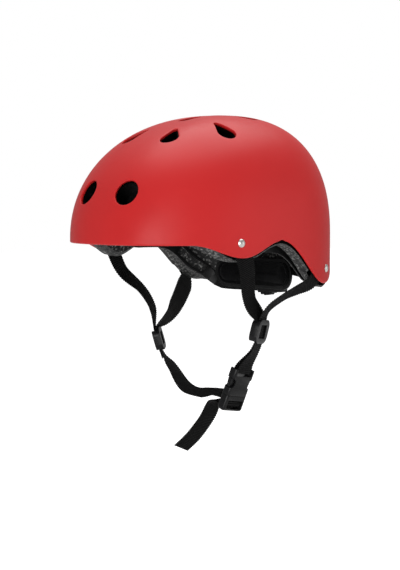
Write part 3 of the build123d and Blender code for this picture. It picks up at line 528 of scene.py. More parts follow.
def loose_points(holes, inset, rim_drop, foam_drop):
    rings = [np.zeros((1, 2))]
    for k in range(1, int(map_limit / map_step)):
        count = max(6, round(2 * math.pi * k))
        turns = np.arange(count) * 2 * math.pi / count + ring_twist * k
        turns = np.arctan2(np.sin(turns), np.cos(turns))
        inner = k * map_step < rim_share(turns, inset, rim_drop, foam_drop) - rim_clear
        rings.append(k * map_step * ring_of(turns[inner]))
    loose = np.vstack(rings)
    for hole in holes:
        near = np.min(np.linalg.norm(loose[:, None] - hole[None], axis=2), axis=1) < hole_clear
        loose = loose[~(near | within(loose, hole))]
    return loose


def lay_skin(holes, inset, rim_drop, foam_drop=0.0):
    points = list(loose_points(holes, inset, rim_drop, foam_drop))
    turns = np.linspace(-math.pi, math.pi, rim_points, endpoint=False)
    rim = rim_share(turns, inset, rim_drop, foam_drop)[:, None] * ring_of(turns)
    edges, spans = [], []
    for loop in (*holes, rim):
        first = len(points)
        points += list(loop)
        spans.append(list(range(first, first + len(loop))))
        edges += [(first + k, first + (k + 1) % len(loop)) for k in range(len(loop))]
    corners = [Vector(p) for p in points]
    out, _, faces, origin, _, _ = delaunay_2d_cdt(corners, edges, [], 0, merge_distance)
    flat = np.array([tuple(p) for p in out])
    number = {old: new for new, olds in enumerate(origin) for old in olds}
    spans = [[number[k] for k in span] for span in spans]
    faces = np.array([face for face in faces if len(face) == 3])
    middle = flat[faces].mean(axis=1)
    keep = within(middle, rim)
    for hole in holes:
        keep &= ~within(middle, hole)
    return flat, faces[keep], spans


# %% [markdown]
# ## Rings and strips
# Every rebuilt piece is made of rings or rows of points with strips of four-sided faces between
# them. A small class keeps both lists until the piece is complete, which is easier to follow than
# counting point numbers by hand, and turns all faces outward at the end.


# %% Mesh builder
class Builder:
    def __init__(self):
        self.points, self.faces, self.kinds = [], [], []

    def add(self, points):
        first = len(self.points)
        self.points += [tuple(p) for p in points]
        return list(range(first, first + len(points)))

    def face(self, corners, kind=0):
        self.faces.append(tuple(corners))
        self.kinds.append(kind)

    def strip(self, one, two, kind=0, closed=True):
        count = len(one)
        for k in range(count if closed else count - 1):
            n = (k + 1) % count
            self.face((one[k], one[n], two[n], two[k]), kind)

    def make(self, name, finishes):
        mesh = bpy.data.meshes.new(name)
        mesh.from_pydata(self.points, [], self.faces)
        for finish in finishes:
            mesh.materials.append(finish)
        mesh.polygons.foreach_set("material_index", self.kinds)
        work = bmesh.new()
        work.from_mesh(mesh)
        bmesh.ops.recalc_face_normals(work, faces=work.faces)
        work.to_mesh(mesh)
        work.free()
        mesh.polygons.foreach_set("use_smooth", [True] * len(mesh.polygons))
        made = bpy.data.objects.new(name, mesh)
        bpy.context.scene.collection.objects.link(made)
        print(name, "points", len(mesh.vertices), "faces", len(mesh.polygons))
        return made


# %% [markdown]
# ## Shell finish
# The real shell is injection-moulded in coloured plastic with a satin, slightly rubbery skin. Paint
# under a clear coat would be too glossy. It needs one colour with a faint drift, a roughness that
# wanders a little, and a fine grain too small to see grain by grain.

# %% Satin red plastic
satin_red, tree, shader = finish_of("satin_red_shell", (0.56, 0.018, 0.019), 0.5, specular=0.26)
place = object_place(tree)
reds = [(0.3, (0.555, 0.016, 0.0165)), (0.7, (0.585, 0.019, 0.0195))]
wander(tree, place, 14.0, 2.0, reds, shader.inputs["Base Color"])
gloss = [(0.25, grey(0.38)), (0.8, grey(0.44))]
wander(tree, place, 160.0, 4.0, gloss, shader.inputs["Roughness"])
relief(tree, shader, noise_of(tree, place, 2600.0, 2.0, 0.6), 0.00006, 0.35)

# %% [markdown]
# ## Shell
# The outer and inner skins share one flat map. Between them each vent gets a rounded lip, which is
# what catches the light as a thin pale line, and the rim gets a full round, as a trimmed and buffed
# edge has. A bevel could round both, but it stumbles over the fine triangles beside a hole.

# %% Shell mesh
lip = 0.0009
shell_half = shell_wall / 2
grown = [(shine(points, axis, 0, 0), axis) for points, axis in all_vents(lip)]
exact = [shine(points, axis, 0, 0) for points, axis in all_vents(0)]
flat, faces, spans = lay_skin([on_map(points, 0, 0) for points, _ in grown], 0, -shell_half)
shell = Builder()
outer = shell.add(skin(flat, 0, 0))
inner = shell.add(skin(flat, shell_wall, shell_wall))
for a, b, c in faces:
    shell.face((outer[a], outer[b], outer[c]))
    shell.face((inner[a], inner[c], inner[b]))

# %% Vent lips
lip_steps = (0.25, 0.5, 0.75, 1.0)
for (edge, axis), corner, span in zip(grown, exact, spans):
    last = [outer[k] for k in span]
    deep = corner - axis * lip
    for t in lip_steps:
        ring = shell.add((1 - t) ** 2 * edge + 2 * (1 - t) * t * corner + t ** 2 * deep)
        shell.strip(last, ring)
        last = ring
    ring = shell.add(corner - axis * shell_wall)
    shell.strip(last, ring)
    shell.strip(ring, [inner[k] for k in span])

# %% Rim round
round_steps = 9
rim_outer = np.array([shell.points[outer[k]] for k in spans[-1]])
rim_inner = np.array([shell.points[inner[k]] for k in spans[-1]])
middle = (rim_outer + rim_inner) / 2
across = (rim_outer - rim_inner) / 2
along = np.roll(middle, -1, axis=0) - np.roll(middle, 1, axis=0)
down = np.cross(along, across)
down = down / np.linalg.norm(down, axis=1)[:, None]
down = down * np.where(down[:, 2] > 0, -1, 1)[:, None]
last = [outer[k] for k in spans[-1]]
for turn in np.linspace(0, math.pi, round_steps)[1:-1]:
    ring = shell.add(middle + across * math.cos(turn) + down * shell_half * math.sin(turn))
    shell.strip(last, ring)
    last = ring
shell.strip(last, [inner[k] for k in spans[-1]])
shell_piece = shell.make("shell_skin", [satin_red])
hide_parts("outer_shell")
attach(shell_piece, "helmet")

# %% [markdown]
# ## Foam finish
# Moulded bead foam shows its fused beads wherever the mould wall touched it, dark with paler
# flecks. A cell pattern gives the beads, and its own random tones pick out the pale ones. The
# chamfers were pressed smooth and get a paler finish of their own: partly the grey of the smooth
# skin and partly a painted highlight along the edge. The outer skin and the walls inside the vents
# get a near-black finish, which is painted shade for the depth of a hole.

# %% Bead foam and its smooth edge
beads_in_a_metre = 600.0


def bead_foam(name, dark, pale, bead_depth, fleck_share, specular=0.3):
    material, tree, shader = finish_of(name, dark, 0.62, specular=specular)
    beads = node(tree, "ShaderNodeTexVoronoi", Scale=beads_in_a_metre, feature="F1")
    link(tree, object_place(tree), beads.inputs["Vector"])
    split = node(tree, "ShaderNodeSeparateColor")
    link(tree, beads.outputs["Color"], split.inputs["Color"])
    plain = (1 - fleck_share, tuple(1.5 * v for v in dark))
    flecks = ramp_of(tree, split.outputs["Red"], [(0.0, dark), plain, (1.0, pale)])
    seams = ramp_of(tree, beads.outputs["Distance"], [(0.35, grey(1)), (0.75, grey(0.35))])
    link(tree, multiplied(tree, flecks, seams), shader.inputs["Base Color"])
    relief(tree, shader, beads.outputs["Distance"], bead_depth, -0.8)
    return material


foam_beads = bead_foam("bead_foam", grey(0.016), (0.3, 0.3, 0.29), 0.0005, 0.35)
# The chamfer finish is paler: partly the grey of the smooth skin, partly a painted highlight.
foam_edge_skin_and_painted_highlight = bead_foam("bead_foam_edge", (0.05, 0.05, 0.049), (0.12, 0.12, 0.118), 0.00018, 0.5)
# Near-black finish for the outer skin and the vent walls: painted shade.
foam_painted_shade = bead_foam(
    "bead_foam_in_vents", grey(0.001), (0.006, 0.006, 0.0058), 0.0004, 0.1, specular=0.03
)

# %% [markdown]
# ## Webbing routes
# The webbing is nylon tape 19 mm wide. A flat strip could be bent along a drawn curve, but tape
# under tension also twists, so its route is a smooth curve through the places where it is held,
# with a direction across it at each place. The solids follow the same places.

# %% Harness values
web_width, web_thick, web_lift = 0.019, 0.0014, 0.0012
web_depth = shell_wall + web_lift + web_thick / 2
washer_size = 0.013
layer_gap = 0.0005
layer_offset = (web_thick + layer_gap) / 2
divider_length, divider_travel = 0.023, 0.008
straight_end = divider_length + divider_travel
buckle_depth, socket_length, plug_clearance = 0.009, 0.026, 0.00035
plug_block, plug_slot, bar_size = 0.0044, 0.003, 0.0026
strap_lead = 0.004
ear_rivet, rear_rivet = (-0.411, -0.017), (0.535, -0.248)
ear_across, rear_across = (0.1, 0.92, 0.38), (0.1, 0.5, -0.86)


# %% Places in shares of the dome
def place_of(shares):
    across, along, up = shares
    y = widest_y + float(reach_at(along, 0)) * along
    return Vector((half_width * across, y, crown_height * up))


def stops_of(table):
    return [(place_of(shares), Vector(across)) for shares, across in table]


def held_frame(top_share, end_share, across):
    top = place_of(top_share)
    down = (place_of(end_share) - top).normalized()
    across = Vector(across)
    across = (across - down * across.dot(down)).normalized()
    return top, across, down.cross(across), down


buckle = held_frame((0.64, -0.198, -1.035), (0.52, -0.239, -1.361), (-0.05, 0.97, -0.15))
divider_left = held_frame((0.785, -0.13, -0.632), (0.745, -0.158, -0.843), (-0.36, 0.93, 0.0))
divider_right = held_frame((-0.76, -0.1, -0.79), (-0.725, -0.055, -1.02), (-0.66, 0.75, 0.0))


def layer(frame_here, side, down):
    origin, x_dir, y_dir, z_dir = frame_here
    return origin + y_dir * (side * layer_offset) + z_dir * down, x_dir


print("buckle at", [round(v, 4) for v in buckle[0]])


# %% [markdown]
# Behind the shell each tape is clamped by a rivet and a washer and lies against the curved wall. A
# straight start would leave the wall or cut into it, so the first stops of each tape are set on the
# wall itself, and the tape leaves along it, square to its own width.


# %% Anchors behind the shell
def wall_at(along, side, height):
    reach = float(reach_at(along, 0))
    run = (1 - abs(along) ** plan_power) ** (1 / plan_power)
    point = Vector((side * half_width * run, widest_y + reach * along, height))
    slope_y = math.copysign(abs(along) ** (plan_power - 1) / reach, along)
    normal = Vector((side * run ** (plan_power - 1) / half_width, slope_y, 0)).normalized()
    return point, normal


def beside_wall(point, side, across):
    along = (point.y - widest_y) / float(reach_at(point.y - widest_y, 0))
    wall, normal = wall_at(along, side, point.z)
    return wall - normal * web_depth, (across - normal * across.dot(normal)).normalized()


def anchor(shares, side, across):
    wall, normal = wall_at(shares[0], side, crown_height * shares[1])
    start = wall - normal * web_depth
    across = Vector((side * across[0], across[1], across[2]))
    across = (across - normal * across.dot(normal)).normalized()
    run = across.cross(normal).normalized()
    run = run if run.z < 0 else -run
    top = beside_wall(start - run * (washer_size / 2), side, across)
    rim = beside_wall(start + run * washer_size, side, across)
    return [top, (start, across), rim], run, (start, across, run)


ear_left, ear_left_run, ear_left_pocket = anchor(ear_rivet, 1, ear_across)
rear_left, rear_left_run, rear_left_pocket = anchor(rear_rivet, 1, rear_across)
ear_right, ear_right_run, ear_right_pocket = anchor(ear_rivet, -1, ear_across)
rear_right, rear_right_run, rear_right_pocket = anchor(rear_rivet, -1, rear_across)
print("left ear tape is clamped at", [round(v, 4) for v in ear_left_pocket[0]])

# %% [markdown]
# A clamped cubic through the stops gives the centre line: it leaves and arrives in given directions
# and has no kink at a stop, as tape under tension hasn't.

# %% Curve through stops
points_a_span = 40


def curve_through(stops, first, last):
    points = np.array([tuple(p) for p, _ in stops])
    gaps = np.linalg.norm(np.diff(points, axis=0), axis=1)
    count = len(points)
    table = np.zeros((count, count))
    right = np.zeros((count, 3))
    table[0, 0] = table[-1, -1] = 1
    right[0], right[-1] = np.array(first.normalized()), np.array(last.normalized())
    for k in range(1, count - 1):
        before, after = gaps[k - 1], gaps[k]
        table[k, k - 1], table[k, k], table[k, k + 1] = after, 2 * (before + after), before
        one, two = points[k] - points[k - 1], points[k + 1] - points[k]
        right[k] = 3 * (after / before * one + before / after * two)
    slopes = np.linalg.solve(table, right)
    marks, path = [], []
    for k in range(count - 1):
        t = np.linspace(0, 1, points_a_span, endpoint=k == count - 2)[:, None]
        path.append(
            (2 * t ** 3 - 3 * t ** 2 + 1) * points[k]
            + (t ** 3 - 2 * t ** 2 + t) * gaps[k] * slopes[k]
            + (3 * t ** 2 - 2 * t ** 3) * points[k + 1]
            + (t ** 3 - t ** 2) * gaps[k] * slopes[k + 1]
        )
        marks.append(k + t[:, 0])
    return np.vstack(path), np.concatenate(marks)


# %% [markdown]
# The line is read off at even steps, four to each rib of the weave, with a ring of points at each
# step. The ring is flat almost to its edges, and its width and thickness swell with every rib, so
# that the ribs and the saw-tooth edge are real geometry and not only shading.

# %% Ribbed tape
rib_pitch, rib_tooth, rib_height = 0.0019, 0.00042, 0.00028
steps_a_rib = 4
edge_power = 14
uv_scale = 100
one_side = [0.3, 0.6, 0.8, 0.9, 0.955, 0.985, 1.0]
width_shares = np.array([-share for share in one_side[::-1]] + [0] + one_side)
under_shares = width_shares[-2:0:-1]


def edge_crown(shares):
    return (1 - np.abs(shares) ** edge_power) ** 0.5


def ribbon(name, stops, first, last, finish):
    path, marks = curve_through(stops, first, last)
    run = np.concatenate([[0], np.cumsum(np.linalg.norm(np.diff(path, axis=0), axis=1))])
    count = int(run[-1] / (rib_pitch / steps_a_rib))
    even = np.linspace(0, run[-1], count + 1)
    centre = np.stack([np.interp(even, run, path[:, k]) for k in range(3)], axis=1)
    at_stop, numbers = np.interp(even, run, marks), np.arange(len(stops))
    held = np.array([tuple(a.normalized()) for _, a in stops])
    across = np.stack([np.interp(at_stop, numbers, held[:, k]) for k in range(3)], axis=1)
    tangent = np.gradient(centre, axis=0)
    tangent /= np.linalg.norm(tangent, axis=1)[:, None]
    face = np.cross(tangent, across)
    face /= np.linalg.norm(face, axis=1)[:, None]
    across = np.cross(face, tangent)
    wave = np.cos(even * 2 * math.pi / rib_pitch)
    made = Builder()
    rows, uvs = [], []
    for k in range(count + 1):
        half = web_width / 2 + rib_tooth * wave[k]
        lift = web_thick / 2 - rib_height + rib_height * wave[k]
        row = []
        for shares, sign in ((width_shares, 1), (under_shares, -1)):
            rise = sign * edge_crown(shares) * lift
            row.append(centre[k] + np.outer(shares * half, across[k]) + np.outer(rise, face[k]))
            uvs += [(share * web_width / 2, even[k]) for share in shares]
        rows.append(made.add(np.vstack(row)))
    for one, two in zip(rows, rows[1:]):
        made.strip(one, two)
    made.face(rows[0][::-1])
    made.face(rows[-1])
    piece = made.make(name, [finish])
    weave = piece.data.uv_layers.new(name="weave")
    corners = np.empty(len(piece.data.loops), int)
    piece.data.loops.foreach_get("vertex_index", corners)
    weave.data.foreach_set("uv", (np.array(uvs)[corners] * uv_scale).ravel())
    print(name, "runs", round(float(run[-1]), 4), "m")
    return piece


# %% [markdown]
# ## Webbing finish
# The tape is black nylon: warp yarns run along it and the ribs cross it. The ribs are in the mesh,
# but light alone hardly shows them in black, so the finish paints shade into the valleys between
# them and a painted highlight onto the ribs. It also adds the yarns, a soft sheen and the slight
# greying of handled tape. The pattern follows the tape's own flat map, because one fixed in space
# would slide across it at every bend.

# %% Black nylon tape
wave_factor = 20
nylon, tree, shader = finish_of("black_nylon_tape", (0.0045, 0.0045, 0.0046), 0.7, specular=0.1)
strip_place = node(tree, "ShaderNodeUVMap", uv_map="weave").outputs["UV"]


def bands(scale, distortion, direction):
    made = node(tree, "ShaderNodeTexWave", Scale=scale, Distortion=distortion)
    made.wave_type, made.bands_direction = "BANDS", direction
    link(tree, strip_place, made.inputs["Vector"])
    return made


yarns = bands(14.0, 0.35, "X")
twist = bands(9.0, 0.5, "DIAGONAL")
ribs = bands(2 * math.pi / (wave_factor * uv_scale * rib_pitch), 0.0, "Y")
ribs.inputs["Phase Offset"].default_value = math.pi / 2
greying = noise_of(tree, object_place(tree), 90.0, 4.0)
tone = ramp_of(tree, greying, [(0.3, grey(0.003)), (0.75, grey(0.006))])
# Painted shade in the valleys between the ribs and a painted highlight on the ribs.
rib_painted_shade_and_highlight = ramp_of(tree, ribs.outputs["Fac"], [(0.15, grey(0.15)), (0.85, grey(2.7))])
link(tree, multiplied(tree, tone, rib_painted_shade_and_highlight), shader.inputs["Base Color"])
first_normal = relief(tree, shader, yarns.outputs["Fac"], 0.00012, 0.5)
relief(tree, shader, twist.outputs["Fac"], 0.00005, 0.4, first_normal)
shader.inputs["Sheen Weight"].default_value = 0.015
shader.inputs["Sheen Roughness"].default_value = 0.4

# %% [markdown]
# ## Left webbing
# One length of tape comes down from the ear rivet, passes the divider as its inner layer, turns
# round the bar of the buckle and goes back up through the divider to the nape rivet. It could be
# three pieces that meet in the divider, but as one mesh it lets the divider slide on it without
# showing a joint.

# %% Left webbing
ear_mid_left = stops_of((
    ((0.857, -0.294, -0.38), (0.0, 0.93, 0.38)),
    ((0.818, -0.242, -0.508), (-0.22, 0.86, 0.4)),
))
rear_mid_left = stops_of((
    ((0.915, 0.355, -0.334), (-0.3, 0.55, -0.74)),
    ((0.885, 0.229, -0.395), (-0.6, 0.45, -0.65)),
    ((0.86, 0.085, -0.438), (-0.7, 0.4, -0.56)),
    ((0.835, -0.032, -0.495), (-0.67, 0.5, -0.5)),
    ((0.81, -0.101, -0.562), (-0.55, 0.72, -0.35)),
))
origin, x_dir, y_dir, z_dir = buckle
loop_radius = (bar_size + web_thick) / 2 + layer_gap
bar_middle = origin + z_dir * (bar_size / 2)
quarter_steps = (0, 0.25 * math.pi, 0.5 * math.pi, 0.75 * math.pi, math.pi)
bar_turn = [
    bar_middle + y_dir * (loop_radius * math.cos(t)) + z_dir * (loop_radius * math.sin(t))
    for t in quarter_steps[::-1]
]
lead = -z_dir * loop_radius
bar_turn = [bar_turn[0] + lead, *bar_turn, bar_turn[-1] + lead]
stops = [*ear_left, *ear_mid_left, layer(divider_left, -1, 0)]
stops += [layer(divider_left, -1, straight_end), *[(point, x_dir) for point in bar_turn]]
stops += [layer(divider_left, 1, straight_end), layer(divider_left, 1, 0)]
stops += [*rear_mid_left[::-1], *rear_left[::-1]]
left_webbing = ribbon("webbing_left", stops, ear_left_run, -rear_left_run, nylon)
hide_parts("ear_strap_left", "rear_strap_left", "lower_strap_left")
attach(left_webbing, "helmet")

# %% [markdown]
# ## Right webbing
# On this side the ear tape ends in the divider's inner layer. The nape tape runs on, folds forward
# under the chin, turns round the bar of the plug half of the buckle and hangs down as the loose
# tail. The part past the chin moves with the plug half, yet it stays one mesh with the rest, since
# a cut there would gape as soon as the buckle opens.

# %% Right ear webbing
ear_mid_right = stops_of((
    ((-0.865, -0.325, -0.29), (-0.35, 0.8, 0.49)),
    ((-0.835, -0.216, -0.414), (-0.58, 0.62, 0.53)),
    ((-0.81, -0.145, -0.521), (-0.52, 0.76, 0.4)),
    ((-0.785, -0.108, -0.634), (-0.49, 0.87, 0.12)),
))
stops = [*ear_right, *ear_mid_right, layer(divider_right, -1, 0)]
stops.append(layer(divider_right, -1, straight_end))
right_ear_webbing = ribbon("webbing_right_ear", stops, ear_right_run, divider_right[3], nylon)
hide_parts("ear_strap_right", "inner_layer_right")
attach(right_ear_webbing, "helmet")

# %% Chin webbing and tail
rear_mid_right = stops_of((
    ((-0.9, 0.39, -0.374), (-0.05, 0.68, -0.73)),
    ((-0.865, 0.334, -0.45), (0.2, 0.8, -0.55)),
    ((-0.83, 0.239, -0.542), (0.15, 0.76, -0.63)),
    ((-0.805, 0.148, -0.624), (0.0, 0.72, -0.68)),
    ((-0.783, 0.035, -0.705), (-0.4, 0.62, -0.62)),
))
chin_mid = stops_of((
    ((-0.67, -0.028, -1.1), (-0.37, 0.93, 0.05)),
    ((-0.61, -0.015, -1.166), (-0.15, 0.98, -0.09)),
    ((-0.515, -0.023, -1.236), (0.04, 0.98, -0.1)),
    ((-0.37, -0.039, -1.295), (0.2, 0.97, 0.1)),
    ((-0.18, -0.066, -1.299), (0.22, 0.92, 0.31)),
    ((0.02, -0.101, -1.288), (0.21, 0.88, 0.42)),
    ((0.18, -0.135, -1.27), (0.3, 0.9, 0.3)),
))
tail_mid = stops_of((
    ((0.2, -0.168, -1.346), (0.31, 0.92, 0.25)),
    ((0.13, -0.151, -1.405), (0.2, 0.97, 0.12)),
    ((0.07, -0.137, -1.466), (0.18, 0.98, -0.06)),
    ((-0.01, -0.144, -1.556), (0.14, 0.96, -0.22)),
    ((-0.12, -0.162, -1.669), (0.1, 0.93, -0.35)),
    ((-0.235, -0.188, -1.766), (0.08, 0.92, -0.38)),
))
plug_bar = socket_length + plug_clearance + plug_block + plug_slot + bar_size / 2
turn_radius = (bar_size + plug_slot) / 2
centre = origin + z_dir * plug_bar
away = -y_dir * (buckle_depth / 2 + strap_lead)
plug_turn = [
    centre - z_dir * (turn_radius * math.cos(t)) + y_dir * (turn_radius * math.sin(t))
    for t in quarter_steps
]
plug_turn = [
    centre - z_dir * turn_radius + away, *plug_turn, centre + z_dir * turn_radius + away
]
stops = [*rear_right, *rear_mid_right, layer(divider_right, 1, 0)]
stops += [layer(divider_right, 1, straight_end + layer_gap), *chin_mid]
stops += [(point, x_dir) for point in plug_turn] + tail_mid
tail_run = tail_mid[-1][0] - tail_mid[-2][0]
chin_webbing = ribbon("webbing_chin", stops, rear_right_run, tail_run, nylon)
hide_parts("rear_strap_right", "lower_strap_right", "chin_strap", "strap_tail")
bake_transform(chin_webbing)

# %% [markdown]
# ## Foam liner
# The liner is one moulding of foam. Its outer and inner skins are laid out like the shell's, each
# with the vents shone onto it. The tapes run between shell and foam, and the outer skin is drawn in
# under them, which is simpler than cutting pockets and shows the same. At the rim a flat face with
# two smooth chamfers joins the skins.

# %% Liner skins
foam_gap, foam_side, foam_crown = 0.0003, 0.016, 0.022
foam_inset = shell_wall + foam_gap
liner_inset = foam_inset + foam_side
liner_drop = foam_inset + foam_crown
foam_drop = 0.004
vent_margin = 0.0012
outer_chamfer, inner_chamfer = 0.0016, 0.0042
pocket_margin, pocket_above, pocket_reach = 0.0028, 0.0095, 0.012
pocket_depth = 0.0068 - foam_inset
side_ease, end_ease = 0.001, 0.002
ear_pocket, rear_pocket = 0.022, 0.032
pockets = (
    (ear_left_pocket, ear_pocket), (rear_left_pocket, rear_pocket),
    (ear_right_pocket, ear_pocket), (rear_right_pocket, rear_pocket),
)


def draw_in(points):
    moved = points.copy()
    for (start, across, run), length in pockets:
        push = np.array(across.cross(run))
        away = points - np.array(start)
        side = np.abs(away @ np.array(across)) - (web_width / 2 + pocket_margin)
        along = away @ np.array(run)
        near = np.abs(away @ push) < pocket_reach
        mask = np.clip(-side / side_ease, 0, 1) * near
        mask = mask * np.clip((along + pocket_above) / end_ease, 0, 1)
        push = push if push[0] * start.x < 0 else -push
        moved += np.outer(mask * pocket_depth, push)
    return moved


def foam_skin(inset, drop, chamfer):
    rings = [shine(points, axis, inset, drop) for points, axis in all_vents(-vent_margin)]
    holes = [on_map(ring, inset, drop) for ring in rings]
    return rings, *lay_skin(holes, inset, -chamfer, foam_drop)


# Finish slots: bead foam, the paler chamfer with its painted highlight, and the near-black painted
# shade.
in_beads, on_edge, in_painted_shade = 0, 1, 2
outer_holes, flat_out, faces_out, spans_out = foam_skin(foam_inset, foam_inset, outer_chamfer)
inner_holes, flat_in, faces_in, spans_in = foam_skin(liner_inset, liner_drop, inner_chamfer)
liner = Builder()
outer = liner.add(draw_in(skin(flat_out, foam_inset, foam_inset)))
inner = liner.add(skin(flat_in, liner_inset, liner_drop))
for a, b, c in faces_out:
    liner.face((outer[a], outer[b], outer[c]), in_painted_shade)
for a, b, c in faces_in:
    liner.face((inner[a], inner[c], inner[b]), in_beads)

# %% Vent walls and rim of the liner
# The vent walls take the near-black finish, painted shade for the depth of the holes.
for top, low, span_out, span_in in zip(outer_holes, inner_holes, spans_out, spans_in):
    last = [outer[k] for k in span_out]
    for t in (0.25, 0.5, 0.75):
        ring = liner.add(top * (1 - t) + low * t)
        liner.strip(last, ring, in_painted_shade)
        last = ring
    liner.strip(last, [inner[k] for k in span_in], in_painted_shade)
rim_outer = np.array([liner.points[outer[k]] for k in spans_out[-1]])
rim_inner = np.array([liner.points[inner[k]] for k in spans_in[-1]])
across = rim_inner - rim_outer
across[:, 2] = 0
across /= np.linalg.norm(across, axis=1)[:, None]
low_outer = rim_outer + across * outer_chamfer - [0, 0, outer_chamfer]
low_inner = rim_inner - across * inner_chamfer - [0, 0, inner_chamfer]
last = [outer[k] for k in spans_out[-1]]
crease_angle = math.radians(35)
# Both chamfers take the paler edge finish: smooth skin grey with a painted highlight.
steps = [(low_outer, on_edge)]
steps += [(low_outer * (1 - t) + low_inner * t, in_beads) for t in (0.2, 0.4, 0.6, 0.8)]
steps.append((low_inner, in_beads))
for points, kind in steps:
    ring = liner.add(points)
    liner.strip(last, ring, kind)
    last = ring
liner.strip(last, [inner[k] for k in spans_in[-1]], on_edge)
liner_piece = liner.make("liner_foam", [foam_beads, foam_edge_skin_and_painted_highlight, foam_painted_shade])
sharp = liner_piece.modifiers.new("edges", "EDGE_SPLIT")
sharp.split_angle = crease_angle
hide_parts("foam_liner")
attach(liner_piece, "helmet")

# %% [markdown]
# ## Plain plastics and metal
# Buckle, dividers, cradle and gear are moulded, and the rivets are stamped and plated. A flat black
# would look like a cut-out, so each plastic gets a wandering tone and gloss and the fine
# spark-eroded texture of its mould, and the nickel the faint unevenness of plating.


# %% Moulded plastic
def moulded(name, color, roughness, grain_scale, depth):
    material, tree, shader = finish_of(name, color, roughness, specular=0.22)
    place = object_place(tree)
    tones = [(0.3, tuple(0.85 * v for v in color)), (0.72, tuple(1.2 * v for v in color))]
    wander(tree, place, 120.0, 4.0, tones, shader.inputs["Base Color"])
    gloss = [(0.3, grey(roughness - 0.05)), (0.7, grey(roughness + 0.07))]
    wander(tree, place, 300.0, 3.0, gloss, shader.inputs["Roughness"])
    relief(tree, shader, noise_of(tree, place, grain_scale, 2.0), depth, 0.5)
    return material


buckle_plastic = moulded("black_buckle_plastic", (0.0055, 0.0055, 0.006), 0.28, 1700.0, 0.00004)
cradle_plastic = moulded("black_cradle_plastic", (0.0035, 0.0035, 0.0037), 0.42, 1400.0, 0.00005)
gear_plastic = moulded("natural_gear_plastic", (0.62, 0.6, 0.54), 0.42, 1500.0, 0.00002)

# %% Nickel and hook tape
nickel, tree, shader = finish_of("nickel_rivet", (0.72, 0.70, 0.67), 0.24, metallic=1.0)
place = object_place(tree)
gloss = [(0.3, grey(0.16)), (0.75, grey(0.36))]
wander(tree, place, 900.0, 4.0, gloss, shader.inputs["Roughness"])
relief(tree, shader, noise_of(tree, place, 700.0, 3.0), 0.00004, 0.4)

hook_tape, tree, shader = finish_of("hook_tape", (0.012, 0.012, 0.013), 0.8)
hooks = node(tree, "ShaderNodeTexVoronoi", Scale=1300.0)
link(tree, object_place(tree), hooks.inputs["Vector"])
# Painted shade between the hooks and a painted highlight on their heads, following the bump.
tone = ramp_of(tree, hooks.outputs["Distance"], [(0.1, (0.05, 0.05, 0.052)), (0.6, grey(0.006))])
link(tree, tone, shader.inputs["Base Color"])
relief(tree, shader, hooks.outputs["Distance"], 0.0006, -1.0)

# %% [markdown]
# ## Edges of the kept solids
# The moulded and stamped pieces keep their solids. Real ones have no knife edges, so a bevel
# follows a clean-up that merges the flat triangles. As modifiers both leave the solid untouched.

# %% Edges and finishes of the kept solids
weld_distance = 0.00001
flat_angle, bevel_angle = math.radians(1.0), math.radians(28)


def soften(name, finish, width):
    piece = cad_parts[name]
    piece.data.materials.clear()
    piece.data.materials.append(finish)
    weld = piece.modifiers.new("weld", "WELD")
    weld.merge_threshold = weld_distance
    clean = piece.modifiers.new("clean", "DECIMATE")
    clean.decimate_type = "DISSOLVE"
    clean.angle_limit = flat_angle
    edge = piece.modifiers.new("edge", "BEVEL")
    edge.width = width
    edge.segments = 3
    edge.limit_method = "ANGLE"
    edge.angle_limit = bevel_angle
    edge.harden_normals = True
    for face in piece.data.polygons:
        face.use_smooth = True


kept_solids = (
    (buckle_plastic, 0.0004, "slider_left slider_right buckle_female buckle_male"),
    (buckle_plastic, 0.0004, "prong_front prong_back"),
    (cradle_plastic, 0.0003, "cradle_plate cradle_hanger hanger_button"),
    (cradle_plastic, 0.0003, "gear_case case_cover dial_knob"),
    (cradle_plastic, 0.00025, "headband_left headband_right rack_left rack_right"),
    (cradle_plastic, 0.00025, "temple_pin_left temple_pin_right"),
    (gear_plastic, 0.0001, "pinion"),
    (hook_tape, 0.0003, "hook_dots"),
    (nickel, 0.0001, "dial_screw"),
    (nickel, 0.00018, "ear_rivet_left ear_rivet_right rear_rivet_left rear_rivet_right"),
    (nickel, 0.00018, "ear_washer_left ear_washer_right rear_washer_left rear_washer_right"),
)
for finish, width, names in kept_solids:
    for name in names.split():
        soften(name, finish, width)
    print(finish.name, "on", names)

# %% [markdown]
# ## Headbands
# A headband is fixed at the temple, and its lap at the back moves with the rack when the dial
# turns. Each is a copy of its solid, edges and all. The solid itself stays as it is, and is hidden.

# %% Copying headbands
for side, sign in (("left", 1), ("right", -1)):
    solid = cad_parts["headband_" + side]
    bpy.context.view_layer.update()
    finished = solid.evaluated_get(bpy.context.evaluated_depsgraph_get())
    band_mesh = bpy.data.meshes.new_from_object(finished)
    band_mesh.transform(solid.matrix_world)
    band_piece = bpy.data.objects.new("band_" + side, band_mesh)
    bpy.context.scene.collection.objects.link(band_piece)
    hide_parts("headband_" + side)
    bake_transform(band_piece)
    print("band", side, "faces", len(band_mesh.polygons))

# %% [markdown]
# ## Pads
# The comfort pads are foam wrapped in brushed cloth, welded flat along their edge. Cloth simulation
# could swell them, but they are thin and mostly hidden, so each is a grid laid along the liner that
# swells to a crown between drawn-in sides, with the welded flange round it.

